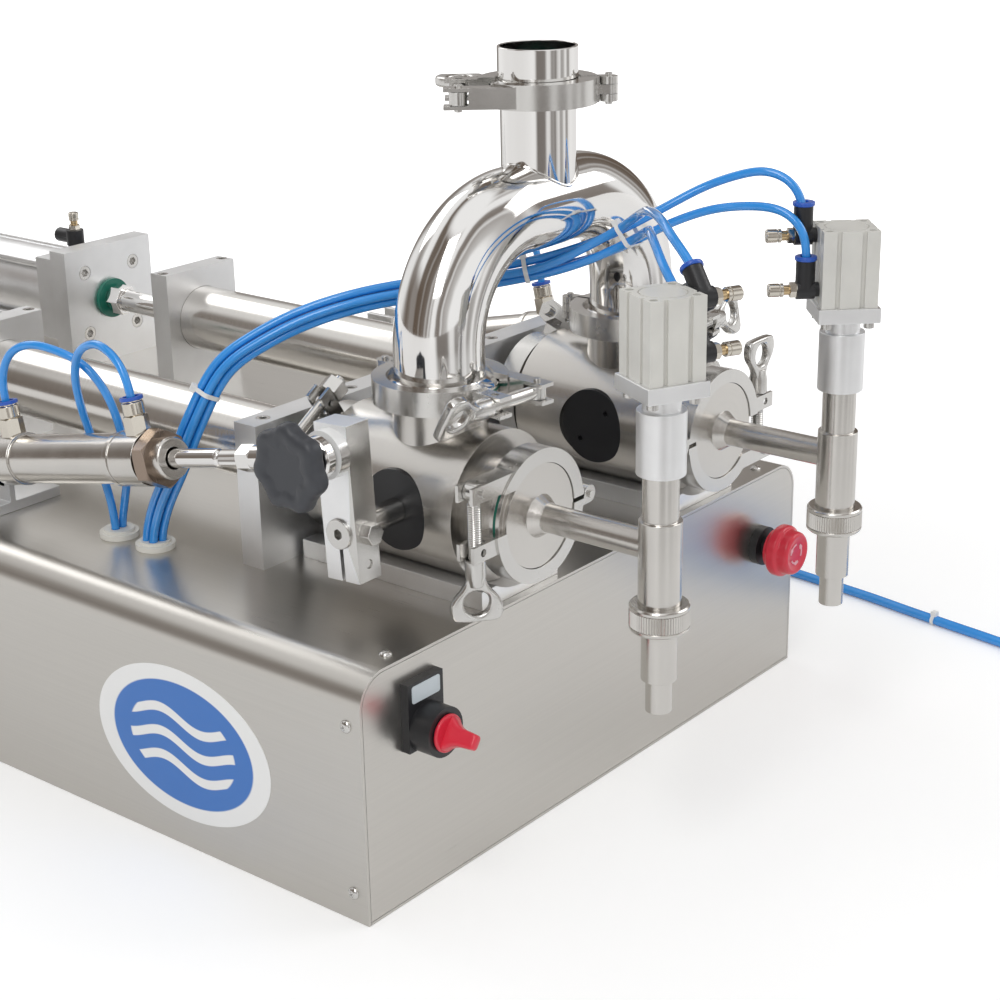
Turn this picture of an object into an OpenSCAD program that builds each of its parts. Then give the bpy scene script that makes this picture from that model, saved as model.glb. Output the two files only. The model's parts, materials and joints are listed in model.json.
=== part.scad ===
// Twin-nozzle bench filling machine for milk and other thin liquids.
// Two horizontal piston pumps draw from a shared inlet pipe through rotary
// three-way valves and push the product out of two shut-off nozzles.
// Frame: millimetres, origin at the middle of the base's underside, +Z up,
// the nozzles face -Y and +X is the machine's right-hand side.

/* [Base] */
// Width of the base box
base_w = 500; // [480:10:600]
// Length of the base box
base_len = 1150; // [1130:10:1300]
// Height of the base box
base_h = 170; // [150:5:220]
// Thickness of the folded sheet
sheet_t = 2; // [1:0.5:3]
// Outside radius of the bends along the top edges
bend_r = 22; // [12:1:28]
// Depth of the panels' inner rims
rim_depth = 18; // [16:1:30]

/* [Filling rows] */
// Distance between the two filling axes
row_gap = 215; // [205:5:230]
// How far the rows' middle lies right of the base's middle
row_shift = 22; // [15:1:26]
// Height of the filling axes above the base
axis_h = 57.5; // [54:0.5:62]

/* [Three-way valve] */
// Outside diameter of the valve body
valve_d = 102; // [98:1:104]
// Distance from the front panel to the valve's front rim
valve_front = 22; // [20:1:26]
// Length of the valve body
valve_len = 118; // [114:1:119]
// Distance from the front panel to the valve's turning axis
core_y = 71.5; // [68:0.5:76]
// Diameter of the turning core
core_d = 55; // [50:1:58]
// Length of the core
core_len = 94; // [90:1:96]
// Bore of the liquid's way through the valve
way_d = 40; // [32:1:42]
// Width of the plate under each valve
plate_w = 80; // [70:1:84]
// Thickness of the plate under each valve
plate_t = 13; // [8:1:14]

/* [Ferrules and clamps] */
// Diameter of a ferrule's flange
flange_d = 77.5; // [76:0.5:79]
// Thickness of a ferrule's flange
flange_t = 3; // [2.5:0.5:3.5]
// Thickness of a gasket
gasket_t = 2; // [1.5:0.5:2.5]
// Outside diameter of a valve clamp
clamp_d = 90; // [88:1:92]
// Width of a clamp band
clamp_w = 16.5; // [15:0.5:18]
// Outside diameter of the valve's necks
neck_d = 63.5; // [58:0.5:65]
// Height of the inlet joint above the filling axis
inlet_h = 73; // [71:0.5:80]
// Diameter of a clamp's bolt
clamp_bolt_d = 8; // [6:0.5:8]

/* [Inlet pipe] */
// Outside diameter of the arch pipe
arch_d = 60; // [54:1:62]
// Bend radius of the arch's elbows
arch_r = 76; // [70:1:80]
// Wall of the pipes
pipe_wall = 2; // [1.5:0.5:2.5]
// Height of the arch's middle line above the inlet joint
arch_rise = 101.5; // [92:0.5:115]
// Outside diameter of the feed pipe
feed_d = 51; // [45:1:51]
// Height of the feed joint above the arch's middle line
feed_rise = 76.5; // [70:0.5:100]
// Outside diameter of the open pipe above the feed joint
stub_d = 54; // [45:1:54]
// Length of the open pipe above the feed joint
stub_len = 29; // [20:1:60]

/* [Pump] */
// Outside diameter of the pump tube
pump_d = 56; // [54:1:58]
// Wall of the pump tube
pump_wall = 2.5; // [2:0.5:3]
// Stroke of the piston
stroke = 300; // [250:5:300]
// Length of the piston
piston_len = 30; // [20:1:34]
// Diameter of the piston rods
rod_d = 20; // [16:1:20]
// Distance from the front panel to the front block
front_block_y = 170; // [168:1:172]
// Thickness of the blocks that carry the pump tube
block_t = 20; // [16:1:22]
// Width of the front block
front_block_w = 149; // [140:1:160]
// Distance from the front panel to the rear block
rear_block_y = 532; // [528:1:540]
// Width of the rear block
rear_block_w = 80; // [70:1:90]
// Height of the blocks above the filling axis
block_top = 45; // [40:1:50]

/* [Drive cylinder] */
// Distance from the front panel to the drive plate
drive_y = 655; // [650:1:660]
// Width of the drive plate
drive_plate_w = 100; // [90:1:110]
// Thickness of the drive plate
drive_plate_t = 20; // [15:1:20]
// Side of the square end caps
cap_side = 75; // [72:1:80]
// Length of an end cap
cap_len = 37; // [30:1:40]
// Bore of the drive cylinder
drive_bore = 63; // [60:1:63]
// Distance between the tie rods
tie_gap = 56.5; // [56:0.5:58]

/* [Valve lever] */
// Height of the rod pin above the valve's turning axis
lever_r = 54; // [50:1:56]
// Backward lean of the lever at rest
lever_lean = 3.5; // [0:0.5:5]
// Width of the lever
lever_w = 28; // [26:1:30]
// Thickness of the lever
lever_t = 20; // [18:1:22]
// Distance from the filling axis to the lever's outer face
lever_x = 100.5; // [98:0.5:104]
// Diameter of the valve shaft in the lever
shaft_d = 20; // [16:1:20]
// Diameter of the rod pin
pin_d = 10; // [8:1:10]
// Diameter of the star knob
knob_d = 58; // [48:1:60]
// Thickness of the star knob
knob_t = 13; // [10:1:16]

/* [Swing cylinder] */
// Distance from the rod pin to the rear pivot
swing_len = 347.6; // [340:0.1:360]
// Downward tilt of the swing cylinder towards the rear
swing_tilt = 11.6; // [11:0.1:12]
// Outside diameter of the swing cylinder's tube
swing_d = 35; // [32:1:36]
// Diameter of the swing cylinder's rod
swing_rod_d = 13; // [10:1:14]
// Travel of the swing cylinder
swing_travel = 80; // [78:1:84]

/* [Nozzles] */
// Distance from the front panel to the nozzle axes
nozzle_y = 104; // [100:1:115]
// Diameter of the outlet tube
outlet_d = 19; // [16:1:19]
// Diameter of the nozzle's tee
tee_d = 27.5; // [26:0.5:29]
// Diameter of the nozzle's lower tube and gland
spout_d = 23; // [20:0.5:24]
// Diameter of the nozzle's tip
tip_d = 17; // [15:0.5:18]
// Length of the nozzle's tip
tip_len = 22; // [15:1:30]
// Diameter of the nozzle nut
nut_d = 38.5; // [35:0.5:42]
// Height of the nozzle nut
nut_h = 18; // [14:1:20]
// Diameter of the cylinder mount's sleeve
sleeve_d = 31; // [28:0.5:34]
// Diameter of the shut-off stem
stem_d = 8; // [6:0.5:8]
// Lift of the shut-off stem
stem_lift = 12; // [8:1:14]

/* [Nozzle cylinders] */
// Side of the square nozzle cylinder
nozzle_cyl_w = 38; // [37:1:42]
// Height of the nozzle cylinder
nozzle_cyl_h = 52; // [50:1:60]
// Turn of the left nozzle cylinder about its axis
left_yaw = 64; // [0:1:89]
// Turn of the right nozzle cylinder about its axis
right_yaw = 42; // [0:1:89]
// Height of the flange under the nozzle cylinder
mount_flange_t = 10; // [8:1:12]

/* [Controls] */
// Selector switch, distance left of the middle
selector_x = 197; // [180:1:205]
// Selector switch, height of its middle
selector_z = 121; // [110:1:125]
// Stop button, distance right of the middle
stop_x = 200; // [180:1:205]
// Stop button, height of its middle
stop_z = 114.5; // [105:0.5:125]
// Diameter of the stop button
stop_d = 40; // [36:1:44]
// Travel of the stop button
stop_travel = 5; // [3:0.5:6]
// Outside diameter of the selector's bezel
selector_d = 33; // [30:1:34]
// Outside diameter of the stop button's collar
bezel_d = 30; // [28:1:32]

/* [Air hoses] */
// Outside diameter of a control hose
hose_d = 6; // [5:0.5:6]
// Outside diameter of the supply hose
supply_d = 8; // [7:0.5:8]
// Turns in the supply hose's coil
coil_turns = 8; // [4:2:10]

/* [Hidden] */
$fn = 48;

// Clearances
fit = 0.05;       // running fit of a turning or sliding pair, per side
seat = 0.2;       // between a curved seat and the piece that lies in it
free = 0.3;       // between pieces that pass each other
socket_free = 0.6; // round a hose in its socket
eps = 0.1;        // overshoot of a cut

// Places shared by several pieces
base_top = base_h;
axis_z = base_top + axis_h;
row_x = [row_shift - row_gap/2, row_shift + row_gap/2];
way_r = way_d/2;
flange_r = flange_d/2;
joint_half = gasket_t/2 + flange_t;
lip_r = flange_r - 3.5;                        // inner radius of a clamp's lips
front_joint_y = valve_front - 25.5;            // middle of the front clamp
rear_joint_y = valve_front + valve_len + 15;   // middle of the clamp behind the valve
clamp_r = clamp_d/2;
feed_flange_r = flange_r - 6.5;
feed_clamp_r = clamp_r - 5;
feed_lip_r = feed_flange_r - 3.5;
arch_h = inlet_h + arch_rise;                  // arch's middle line above the filling axis
feed_h = arch_h + feed_rise;                   // feed joint above the filling axis
ear_y = [26, 2];                               // clamp ears: each half's gap to the split plane
ear_t = 11;                                    // clamp ears: thickness
ear_reach = 22;                                // clamp ears: reach past the band
bolt_off = 12.5;                               // clamp bolt's distance past the band
hinge_off = 7;                                 // clamp hinge's distance past the band
inlet_turn = 85;                               // inlet clamps: turn about their axis
feed_turn = -51;                               // feed clamp: turn about its axis
rear_turn = 58;                                // rear clamps: turn about their axis
front_wing_turn = [-40, 0];                    // turn of each wing nut on its bolt
inlet_wing_turn = [60, 100];
feed_wing_turn = 0;
wing_w = 34;
wing_h = 42;
wing_t = 7;
wing_hole_d = 17;
pump_r = pump_d/2;
piston_y = rear_block_y - 7 - piston_len;      // piston's front face at rest
coupling_len = 14;
coupling_y = drive_y - coupling_len - 8;
drive_cap_y = drive_y + drive_plate_t;
barrel_y = drive_cap_y + cap_len;
barrel_len = stroke + 47;
rear_cap_y = barrel_y + barrel_len;
screw_x = [-57, 29];                           // block screws, from the filling axis
grommet_x = -174;                              // grommets, from the base's middle
grommet_y = [263, 301];
grommet_r = 10.5;
eye_x = lever_x + 14;                          // swing rod's plane, left of the filling axis
eye_w = 9;
knob_x = eye_x + eye_w/2 + 1;                  // knob's inner face
ring_t = eye_x - eye_w/2 - lever_x - 1;        // spacer ring on the lever
knob_hub = 11;                                 // knob's neck, between the rod end and the star
knob_hub_r = 12;
rest_turn = [0, -45];                          // each lever's turn from upright at rest
rod_follow = -0.9753;                          // rod's turn on its pin per turn of the lever
slide_follow = 0.9287*lever_r*PI/180;          // cylinder's slide on its rod per degree of the lever
pin_y = core_y + lever_r*sin(lever_lean);      // rod pin at rest
pin_z = lever_r*cos(lever_lean);
collar_s = 134;                                // swing cylinder's front, from the rod pin
swing_nut_s = 143;
swing_cap_s = 156;
swing_tube_s = 187;
swing_rear_s = swing_tube_s + swing_travel + 27;
swing_lug_s = swing_rear_s + 20;
swing_piston_s = swing_tube_s + swing_travel/2 + 12;
slot_drop = 18;                                // fall of the rear pivot pin in its slot
pivot_pin_d = 8;
bracket_gap = 18;
bracket_t = 5;
tee_low = -50;
tee_high = 18.5;
gland_top = 55;
sleeve_low = 48.5;
sleeve_high = 89.5;
mount_low = 99.5;
cyl_low = mount_low + mount_flange_t;
nut_low = tee_low - 4.5;
spout_low = -88.5;
tip_low = spout_low - tip_len;
seat_z = tip_low + 6.5;
port_z = [11, 45];                             // nozzle cylinder's ports above its lower end
port_roll = [45, 0];                           // lean of each nozzle's hose ends about their ports
port_side = [0, 6.5];                          // sideways step between each nozzle's ports
port_turn = [270, 90];                         // nozzle cylinder's port side, from its yaw
inlet_y = 330;                                 // air inlet, from the front panel
inlet_z = 60;
inlet_r = 8;
label_t = 6.5;                                 // selector: its legend block, bezel, disc and grip
label_z = [-13.5, 33];
bezel_len = 15.5;
selector_disc_d = 25;
grip = [9, 25, 22];
grip_tip = 10;
grip_turn = 35;
yaw = [left_yaw, right_yaw];

// Air hoses: points along their middle lines, with y from the front panel.
// Five hoses leave the front grommet as a bundle round its own middle line.
bundle_r = 5.8;
bundle = [
    [-174, 263, 150], [-174, 263, 164], [-174, 263, 178], [-172, 256, 202], [-168, 241, 232],
    [-160, 229, 265], [-143, 214, 303], [-122, 196, 321], [-98, 176, 334], [-70, 152, 343],
    [-35, 128, 347], [5, 105, 350], [30, 75, 357]
];
// Each hose's place in the bundle, how many of its points it follows, and its own points from there
bundle_hoses = [
    [3, 13, [[43, 46, 372], [48, 22, 387], [35, -2, 401], [5, -30, 412], [-25, -60, 416], [-42, -81, 410],
             [-53.2, -101.7, 398.3], [-59.1, -113.7, 384.8]]],
    [4, 13, [[44, 46, 362], [52, 20, 376], [41, -4, 389], [10, -28, 397], [-16, -50, 397], [-35, -70, 389],
             [-46, -87, 378], [-53.2, -101.7, 364.3], [-59.1, -113.7, 350.8]]],
    [2, 13, [[54, 48, 373], [66, 26, 385], [79, 6, 398], [95, -14, 412], [105, -34, 423], [111, -55, 428],
             [114, -67, 425], [115.6, -75.6, 416], [115.6, -78.8, 404], [115.6, -78.8, 386]]],
    [0, 13, [[55, 48, 362], [67, 24, 374], [77, 2, 387], [88, -22, 397], [97, -42, 400.5], [103, -64.5, 400.5],
             [105, -76, 396], [105.9, -84.3, 387], [105.9, -87.5, 375], [105.9, -87.5, 352]]],
    [1, 11, [[5, 124, 349], [60, 134, 352], [110, 156, 356], [160, 196, 357], [205, 232, 350], [232, 248, 334],
             [243, 250, 312], [244, 245.1, 290.4], [244, 242.5, 272.3]]]
];
// The left swing cylinder's two hoses, down to the rear grommet
pair_half = 3.3;
swing_hoses = [
    [[-200, 242.5, 272.3], [-200, 245.1, 290.4], [-199, 255, 310], [-197, 278, 320], [-195, 301, 311],
     [-191, 313, 290], [-184, 318, 264], [-178, 317, 240], [-176, 312, 216], [-177, 304, 196], [-177.3, 301, 178],
     [-177.3, 301, 150]],
    [[-200, 379, 245.4], [-200, 382, 262.4], [-200, 382.5, 279], [-199, 374, 297], [-196, 355, 307],
     [-190, 332, 305], [-183, 312, 296], [-178, 297, 277], [-174, 290, 250], [-171, 290, 222], [-171, 296, 196],
     [-170.7, 301, 178], [-170.7, 301, 150]]
];
grommet_hoses = [
    [for (k = [0:4]) bundle_r*[cos(72*k), sin(72*k)]],
    [[-pair_half, 0], [pair_half, 0]]
];
// The supply hose, from the air inlet along the ground to its coil
supply_points = [
    [255, 330, 60], [275, 330, 60], [305, 326, 52], [340, 308, 30], [368, 276, 10], [386, 236, 4],
    [398, 190, 4], [402, 140, 4], [400, 83, 4], [396, 46, 4], [391, 4, 4], [384, -38, 4], [378, -78, 4],
    [371, -126, 4], [364, -160, 4], [362, -182, 4], [362, -190, 4]
];
coil_lead = 8;                                 // straight start of the coil
coil_tail = 34;                                // straight end, clear of the outer turn
coil_r = 48;                                   // middle of the turns
coil_step = 8.6;                               // between turns and between layers
coil_half = coil_turns/2;                      // turns in to the middle, and out again
coil_rings = 24;                               // rings to a turn

// Colours
steel = "#b9b6b0";
polished = "#d4d6d8";
aluminium = "#d8dadc";
dark = "#26272a";
nickel = "#c9c3b4";
red = "#cf1f2c";
blue = "#2f7fd6";
cream = "#ece9dc";
green = "#1d7a5c";

// Frames: y is measured from the front panel, and in a row x and z from its filling axis.
// The right-hand row is the left-hand one mirrored.
module from_front() translate([0, -base_len/2, 0]) children();
module mirrored(i) { if (i == 1) mirror([1, 0, 0]) children(); else children(); }
module in_row(i) translate([row_x[i], -base_len/2, axis_z]) mirrored(i) children();
module rows() for (i = [0, 1]) in_row(i) children();
module at_nozzle(i) in_row(i) translate([0, -nozzle_y, 0]) children();
module nozzles() for (i = [0, 1]) at_nozzle(i) children();
module on_lever(i) in_row(i) translate([0, core_y, 0]) rotate([rest_turn[i], 0, 0])
    translate([0, -core_y, 0]) children();
module on_pin(i) on_lever(i) translate([-eye_x, pin_y, pin_z])
    rotate([rod_follow*rest_turn[i] - swing_tilt, 0, 0]) children();

// Solids along an axis, from a to b
module rod_x(r, a, b) translate([a, 0, 0]) rotate([0, 90, 0]) cylinder(r = r, h = b - a);
module rod_y(r, a, b) translate([0, a, 0]) rotate([-90, 0, 0]) cylinder(r = r, h = b - a);
module rod_z(r, a, b) translate([0, 0, a]) cylinder(r = r, h = b - a);
module hex_y(af, a, b) translate([0, a, 0]) rotate([-90, 0, 0]) cylinder(d = af/cos(30), h = b - a, $fn = 6);
module hex_z(af, a, b) translate([0, 0, a]) cylinder(d = af/cos(30), h = b - a, $fn = 6);
module block(low, high) translate(low) cube(high - low);
module ring_z(r_out, r_in, a, b) difference() { rod_z(r_out, a, b); rod_z(r_in, a - eps, b + eps); }
module ring_y(r_out, r_in, a, b) difference() { rod_y(r_out, a, b); rod_y(r_in, a - eps, b + eps); }

// Outline of the base seen from the front, standing on z = 0
module arch_outline(w, h, r) {
    translate([-w/2, 0]) square([w, h - r]);
    translate([r - w/2, 0]) square([w - 2*r, h]);
    for (s = [-1, 1]) translate([s*(w/2 - r), h - r]) circle(r);
}
module along_y(a, b) translate([0, b, 0]) rotate([90, 0, 0]) linear_extrude(b - a) children();

// Base
panel_gap = sheet_t + free;
panel_w = base_w - 2*panel_gap;
panel_h = base_h - panel_gap;
panel_r = bend_r - panel_gap;
screw_y = [rim_depth - 6, base_len - rim_depth + 6];
side_screw_z = [20, base_h - 34];
top_screw_x = base_w/2 - bend_r - 16;

module sheet_screw_holes(r) {
    for (y = screw_y, z = side_screw_z) translate([0, y, z]) rod_x(r, -base_w, base_w);
    for (y = screw_y, x = [-top_screw_x, top_screw_x]) translate([x, y, 0]) rod_z(r, base_h/2, base_h*2);
}

module base_cover() color(steel) from_front() difference() {
    along_y(0, base_len) difference() {
        arch_outline(base_w, base_h, bend_r);
        translate([0, -eps]) arch_outline(base_w - 2*sheet_t, base_h - sheet_t + eps, bend_r - sheet_t);
    }
    sheet_screw_holes(2.3);
    for (y = grommet_y) translate([grommet_x, y, 0]) rod_z(grommet_r + free, base_h/2, base_h*2);
    translate([0, inlet_y, inlet_z]) rod_x(inlet_r + free, 0, base_w);
}

module end_panel(a, rim) {
    along_y(a, a + sheet_t) translate([0, free + sheet_t]) arch_outline(panel_w, panel_h - free - sheet_t, panel_r);
    along_y(min(a, a + rim), max(a + sheet_t, a + sheet_t + rim)) translate([0, free + sheet_t]) difference() {
        arch_outline(panel_w, panel_h - free - sheet_t, panel_r);
        translate([0, -eps])
            arch_outline(panel_w - 2*sheet_t, panel_h - free - 2*sheet_t + eps, panel_r - sheet_t);
    }
}

module front_panel() color(steel) from_front() difference() {
    end_panel(0, rim_depth);
    sheet_screw_holes(2.3);
    translate([-selector_x, 0, selector_z]) rod_y(11 + seat, -eps, sheet_t*2);
    translate([stop_x, 0, stop_z]) rod_y(11 + seat, -eps, sheet_t*2);
}

module rear_panel() color(steel) from_front() difference() {
    end_panel(base_len - sheet_t, -rim_depth);
    sheet_screw_holes(2.3);
    translate([0, base_len, 0]) block([-14 - free, -sheet_t*2, 40 - free], [14 + free, sheet_t, 60 + free]);
}

module base_plate() color(steel) from_front()
    block([-panel_w/2, 0, 0], [panel_w/2, base_len, sheet_t]);

module pan_screw() {
    rod_z(4.2, 0, 1.4);
    rod_z(3.2, 0, 2.4);
    rod_z(2.1, -7, 0);
}

module panel_screws() color(polished) from_front() {
    for (y = screw_y, z = side_screw_z, s = [-1, 1])
        translate([s*base_w/2, y, z]) rotate([0, s*90, 0]) pan_screw();
    for (y = screw_y, s = [-1, 1]) translate([s*top_screw_x, y, base_h]) pan_screw();
}

module hose_grommets() color(cream) from_front()
    for (k = [0, 1]) translate([grommet_x, grommet_y[k], base_top]) difference() {
        union() {
            rod_z(grommet_r + 3.5, 0, 4);
            rod_z(grommet_r + 0.5, 0, 6);
            rod_z(grommet_r, -sheet_t, 0);
            rod_z(grommet_r + 2, -sheet_t - 4, -sheet_t);
        }
        for (p = grommet_hoses[k]) translate([p[0], p[1], 0]) rod_z(hose_d/2 + seat, -sheet_t*2 - 5, 7);
    }

// Valves
module valve_plates() color(aluminium) rows() difference() {
    block([-plate_w/2, front_joint_y + clamp_w/2 + 1.5, -axis_h],
          [plate_w/2, front_block_y - 4, plate_t - axis_h]);
    rod_y(valve_d/2 + seat, -valve_d, front_block_y);
    rod_y(clamp_r + 2, rear_joint_y - clamp_w, front_block_y);
    block([0, rear_joint_y - clamp_w/2 - 2, -axis_h - eps], [plate_w, rear_joint_y + clamp_w/2 + 2, 0]);
}

// A ferrule on the y axis: its joint face at a, its neck reaching b
module ferrule_y(a, b) {
    rod_y(neck_d/2, min(a, b), max(a, b));
    rod_y(flange_r, a - (a > b ? flange_t : 0), a + (a > b ? 0 : flange_t));
}

module valve_bodies() color(steel) rows() difference() {
    union() {
        rod_y(valve_d/2, valve_front, valve_front + valve_len);
        ferrule_y(front_joint_y + gasket_t/2, valve_front + 1);
        ferrule_y(rear_joint_y - gasket_t/2, valve_front + valve_len - 1);
        translate([0, core_y, 0]) {
            rod_z(neck_d/2, 0, inlet_h - gasket_t/2);
            rod_z(flange_r, inlet_h - joint_half, inlet_h - gasket_t/2);
        }
    }
    rod_y(way_r, front_joint_y - flange_d, rear_joint_y + flange_d);
    translate([0, core_y, 0]) {
        rod_z(way_r, 0, inlet_h + flange_t);
        rod_x(core_d/2 + fit, -valve_d, valve_d);
    }
}

// With the lever upright the core's tee-shaped way stands halfway between its two working positions
module valve_core(i) color(dark) on_lever(i) translate([0, core_y, 0]) difference() {
    rod_x(core_d/2, -core_len/2, core_len/2);
    rotate([45, 0, 0]) rod_y(way_r, -core_d, core_d);
    rotate([-45, 0, 0]) rod_y(way_r, 0, core_d);
    for (s = [-1, 1]) translate([0, s*16, 0]) rod_x(2, core_len/2 - 4, core_len);
}

// Clamps: the joint's axis is z, the bolt lies at -x along y, and the halves part at y = 0
ear_half = 7;
clamp_pin_r = 2.5;
ear_slot = clamp_bolt_d/2 + 0.6;
module band_half(s, r_out, r_flange, r_lip) difference() {
    ear = s == 1 ? ear_y[0] : ear_y[1];
    bolt_x = -r_out - bolt_off;
    union() {
        rod_z(r_out, -clamp_w/2, clamp_w/2);
        block([-r_out - ear_reach, ear, -ear_half], [-sqrt(r_out^2 - (ear + ear_t)^2) + 4, ear + ear_t, ear_half]);
        translate([r_out + hinge_off, 0, 0]) {
            rod_z(6, -clamp_w/2, clamp_w/2);
            block([-hinge_off - 3, 0, -clamp_w/2], [0, 6, clamp_w/2]);
        }
    }
    rod_z(r_flange + seat, -joint_half - seat, joint_half + seat);
    rod_z(r_lip, -clamp_w, clamp_w);
    block([-r_out - ear_reach*2, -r_out*2, -clamp_w], [r_out + 0.5, 1.5, clamp_w]);
    if (s == 1) block([-r_out - ear_reach*2, 0, -clamp_w], [0, ear - 1, clamp_w]);
    block([-r_out - ear_reach - 1, 0, -ear_slot], [bolt_x + 7, r_out, ear_slot]);
    translate([bolt_x, ear + ear_t/2, 0]) rod_z(clamp_pin_r + seat/2, -clamp_w, clamp_w);
    translate([r_out + hinge_off, 0, 0]) {
        rod_z(clamp_pin_r + seat/2, -clamp_w, clamp_w);
        if (s == 1) for (t = [-1, 1]) translate([0, 0, t*6.1]) block([-hinge_off + 0.5, -9, -3], [9, 9, 3]);
        else block([-hinge_off + 0.5, -9, -3.3], [9, 9, 3.3]);
    }
}
module clamp_band(r_out, r_flange, r_lip) {
    band_half(1, r_out, r_flange, r_lip);
    mirror([0, 1, 0]) band_half(-1, r_out, r_flange, r_lip);
}
nut_y = -ear_y[1] - ear_t - free;
hub_h = 18;
module clamp_bolt(r_out) {
    translate([-r_out - bolt_off, 0, 0]) {
        translate([0, ear_y[0] + ear_t/2, 0]) {
            rod_z(clamp_pin_r, -ear_half - 2, ear_half + 2);
            rod_z(6, -ear_slot + free, ear_slot - free);
        }
        rod_y(clamp_bolt_d/2, nut_y - hub_h + 3, ear_y[0] + ear_t/2 - 3);
    }
    translate([r_out + hinge_off, 0, 0]) rod_z(clamp_pin_r, -clamp_w/2 - 2, clamp_w/2 + 2);
}
module clamp_nut(r_out) translate([-r_out - bolt_off, nut_y, 0]) difference() {
    hex_y(16, -11, 0);
    rod_y(clamp_bolt_d/2 + fit, -12, 1);
}
module wing_nut(r_out, turn) translate([-r_out - bolt_off, nut_y, 0]) rotate([0, turn, 0])
    difference() {
        union() {
            rod_y(clamp_bolt_d/2 + 3, -hub_h, 0);
            translate([0, 0, -wing_t/2]) linear_extrude(wing_t)
                polygon([[-6, -2], [6, -2], [7, -14], [10, -20], [wing_w/2, -28], [wing_w/2 - 1, -wing_h],
                         [1 - wing_w/2, -wing_h], [-wing_w/2, -28], [-10, -20], [-7, -14]]);
        }
        rod_y(clamp_bolt_d/2 + fit, 2 - hub_h, 1);
        translate([0, 13 - wing_h, 0]) rod_z(wing_hole_d/2, -wing_t, wing_t);
    }

// Where each clamp sits; the wing hangs down on the left and stands up on the right
module at_front_clamp(i) in_row(i) translate([0, front_joint_y, 0]) rotate([90, 0, 0])
    mirror([0, i, 0]) children();
module at_inlet_clamp(i) in_row(i) translate([0, core_y, inlet_h]) rotate([0, 0, inlet_turn])
    mirror([0, 1, 0]) children();
module at_rear_clamp(i) in_row(i) translate([0, rear_joint_y, 0]) rotate([90, rear_turn, 0])
    mirror([0, 1, 0]) children();
module at_feed_clamp() translate([row_shift, core_y - base_len/2, axis_z + feed_h]) rotate([0, 0, feed_turn])
    mirror([0, 1, 0]) children();

module clamp_bands() color(aluminium) {
    for (i = [0, 1]) {
        at_front_clamp(i) clamp_band(clamp_r, flange_r, lip_r);
        at_inlet_clamp(i) clamp_band(clamp_r, flange_r, lip_r);
        at_rear_clamp(i) clamp_band(clamp_r, flange_r, lip_r);
    }
    at_feed_clamp() clamp_band(feed_clamp_r, feed_flange_r, feed_lip_r);
}
module clamp_bolts() color(steel) {
    for (i = [0, 1]) {
        at_front_clamp(i) clamp_bolt(clamp_r);
        at_inlet_clamp(i) clamp_bolt(clamp_r);
        at_rear_clamp(i) {
            clamp_bolt(clamp_r);
            clamp_nut(clamp_r);
        }
    }
    at_feed_clamp() clamp_bolt(feed_clamp_r);
}
module front_wing_nut(i) color(aluminium) at_front_clamp(i) wing_nut(clamp_r, front_wing_turn[i]);
module inlet_wing_nut(i) color(aluminium) at_inlet_clamp(i) wing_nut(clamp_r, inlet_wing_turn[i]);
module feed_wing_nut() color(aluminium) at_feed_clamp() wing_nut(feed_clamp_r, feed_wing_turn);

module gasket(r) ring_z(r - free, way_r, -gasket_t/2, gasket_t/2);
module ferrule_gaskets() color(green) {
    rows() {
        translate([0, front_joint_y, 0]) rotate([90, 0, 0]) gasket(flange_r);
        translate([0, rear_joint_y, 0]) rotate([90, 0, 0]) gasket(flange_r);
        translate([0, core_y, inlet_h]) gasket(flange_r);
    }
    translate([row_shift, core_y - base_len/2, axis_z + feed_h]) gasket(feed_flange_r);
}

// Inlet pipe: two elbows, the run between them, the feed pipe and the open stub above
module pipe_run(cut) {
    r = arch_d/2 - cut;
    reach = cut > 0 ? flange_t*2 : 0;
    for (i = [0, 1]) translate([(i - 0.5)*row_gap, 0, 0]) mirrored(i) {
        rod_z(r, inlet_h + gasket_t/2 - reach, arch_h - arch_r);
        translate([arch_r, 0, arch_h - arch_r]) rotate([90, 0, 180])
            rotate_extrude(angle = 90) translate([arch_r, 0]) circle(r);
    }
    translate([0, 0, arch_h]) rod_x(r, arch_r - row_gap/2, row_gap/2 - arch_r);
    rod_z(feed_d/2 - cut, arch_h, feed_h - gasket_t/2 + reach);
}
module inlet_pipe() color(polished) translate([row_shift, core_y - base_len/2, axis_z]) {
    difference() {
        union() {
            pipe_run(0);
            for (i = [0, 1]) translate([(i - 0.5)*row_gap, 0, 0])
                rod_z(flange_r, inlet_h + gasket_t/2, inlet_h + joint_half);
            rod_z(feed_flange_r, feed_h - joint_half, feed_h - gasket_t/2);
        }
        pipe_run(pipe_wall);
    }
    difference() {
        union() {
            rod_z(stub_d/2, feed_h + gasket_t/2, feed_h + stub_len);
            rod_z(feed_flange_r, feed_h + gasket_t/2, feed_h + joint_half);
        }
        rod_z(stub_d/2 - pipe_wall, feed_h, feed_h + stub_len + eps);
    }
}

// Pumps
module pump_tubes() color(polished) rows() difference() {
    union() {
        rod_y(pump_r, rear_joint_y + gasket_t/2, rear_block_y + block_t + 14);
        rod_y(flange_r, rear_joint_y + gasket_t/2, rear_joint_y + joint_half);
    }
    rod_y(pump_r - pump_wall, front_block_y, rear_block_y + block_t*2);
    rod_y(way_r, rear_joint_y, front_block_y + eps);
}

split_z = -4;
block_screw_d = 6;
drive_screw_d = 8;
function head_r(d) = d*0.8;
function clamp_screw_x() = pump_r + 7;
module counterbore(d, l) {
    rod_z(head_r(d) + seat, -d, eps);
    rod_z(d/2 + fit, -d - l - 1, 0);
}
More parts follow.
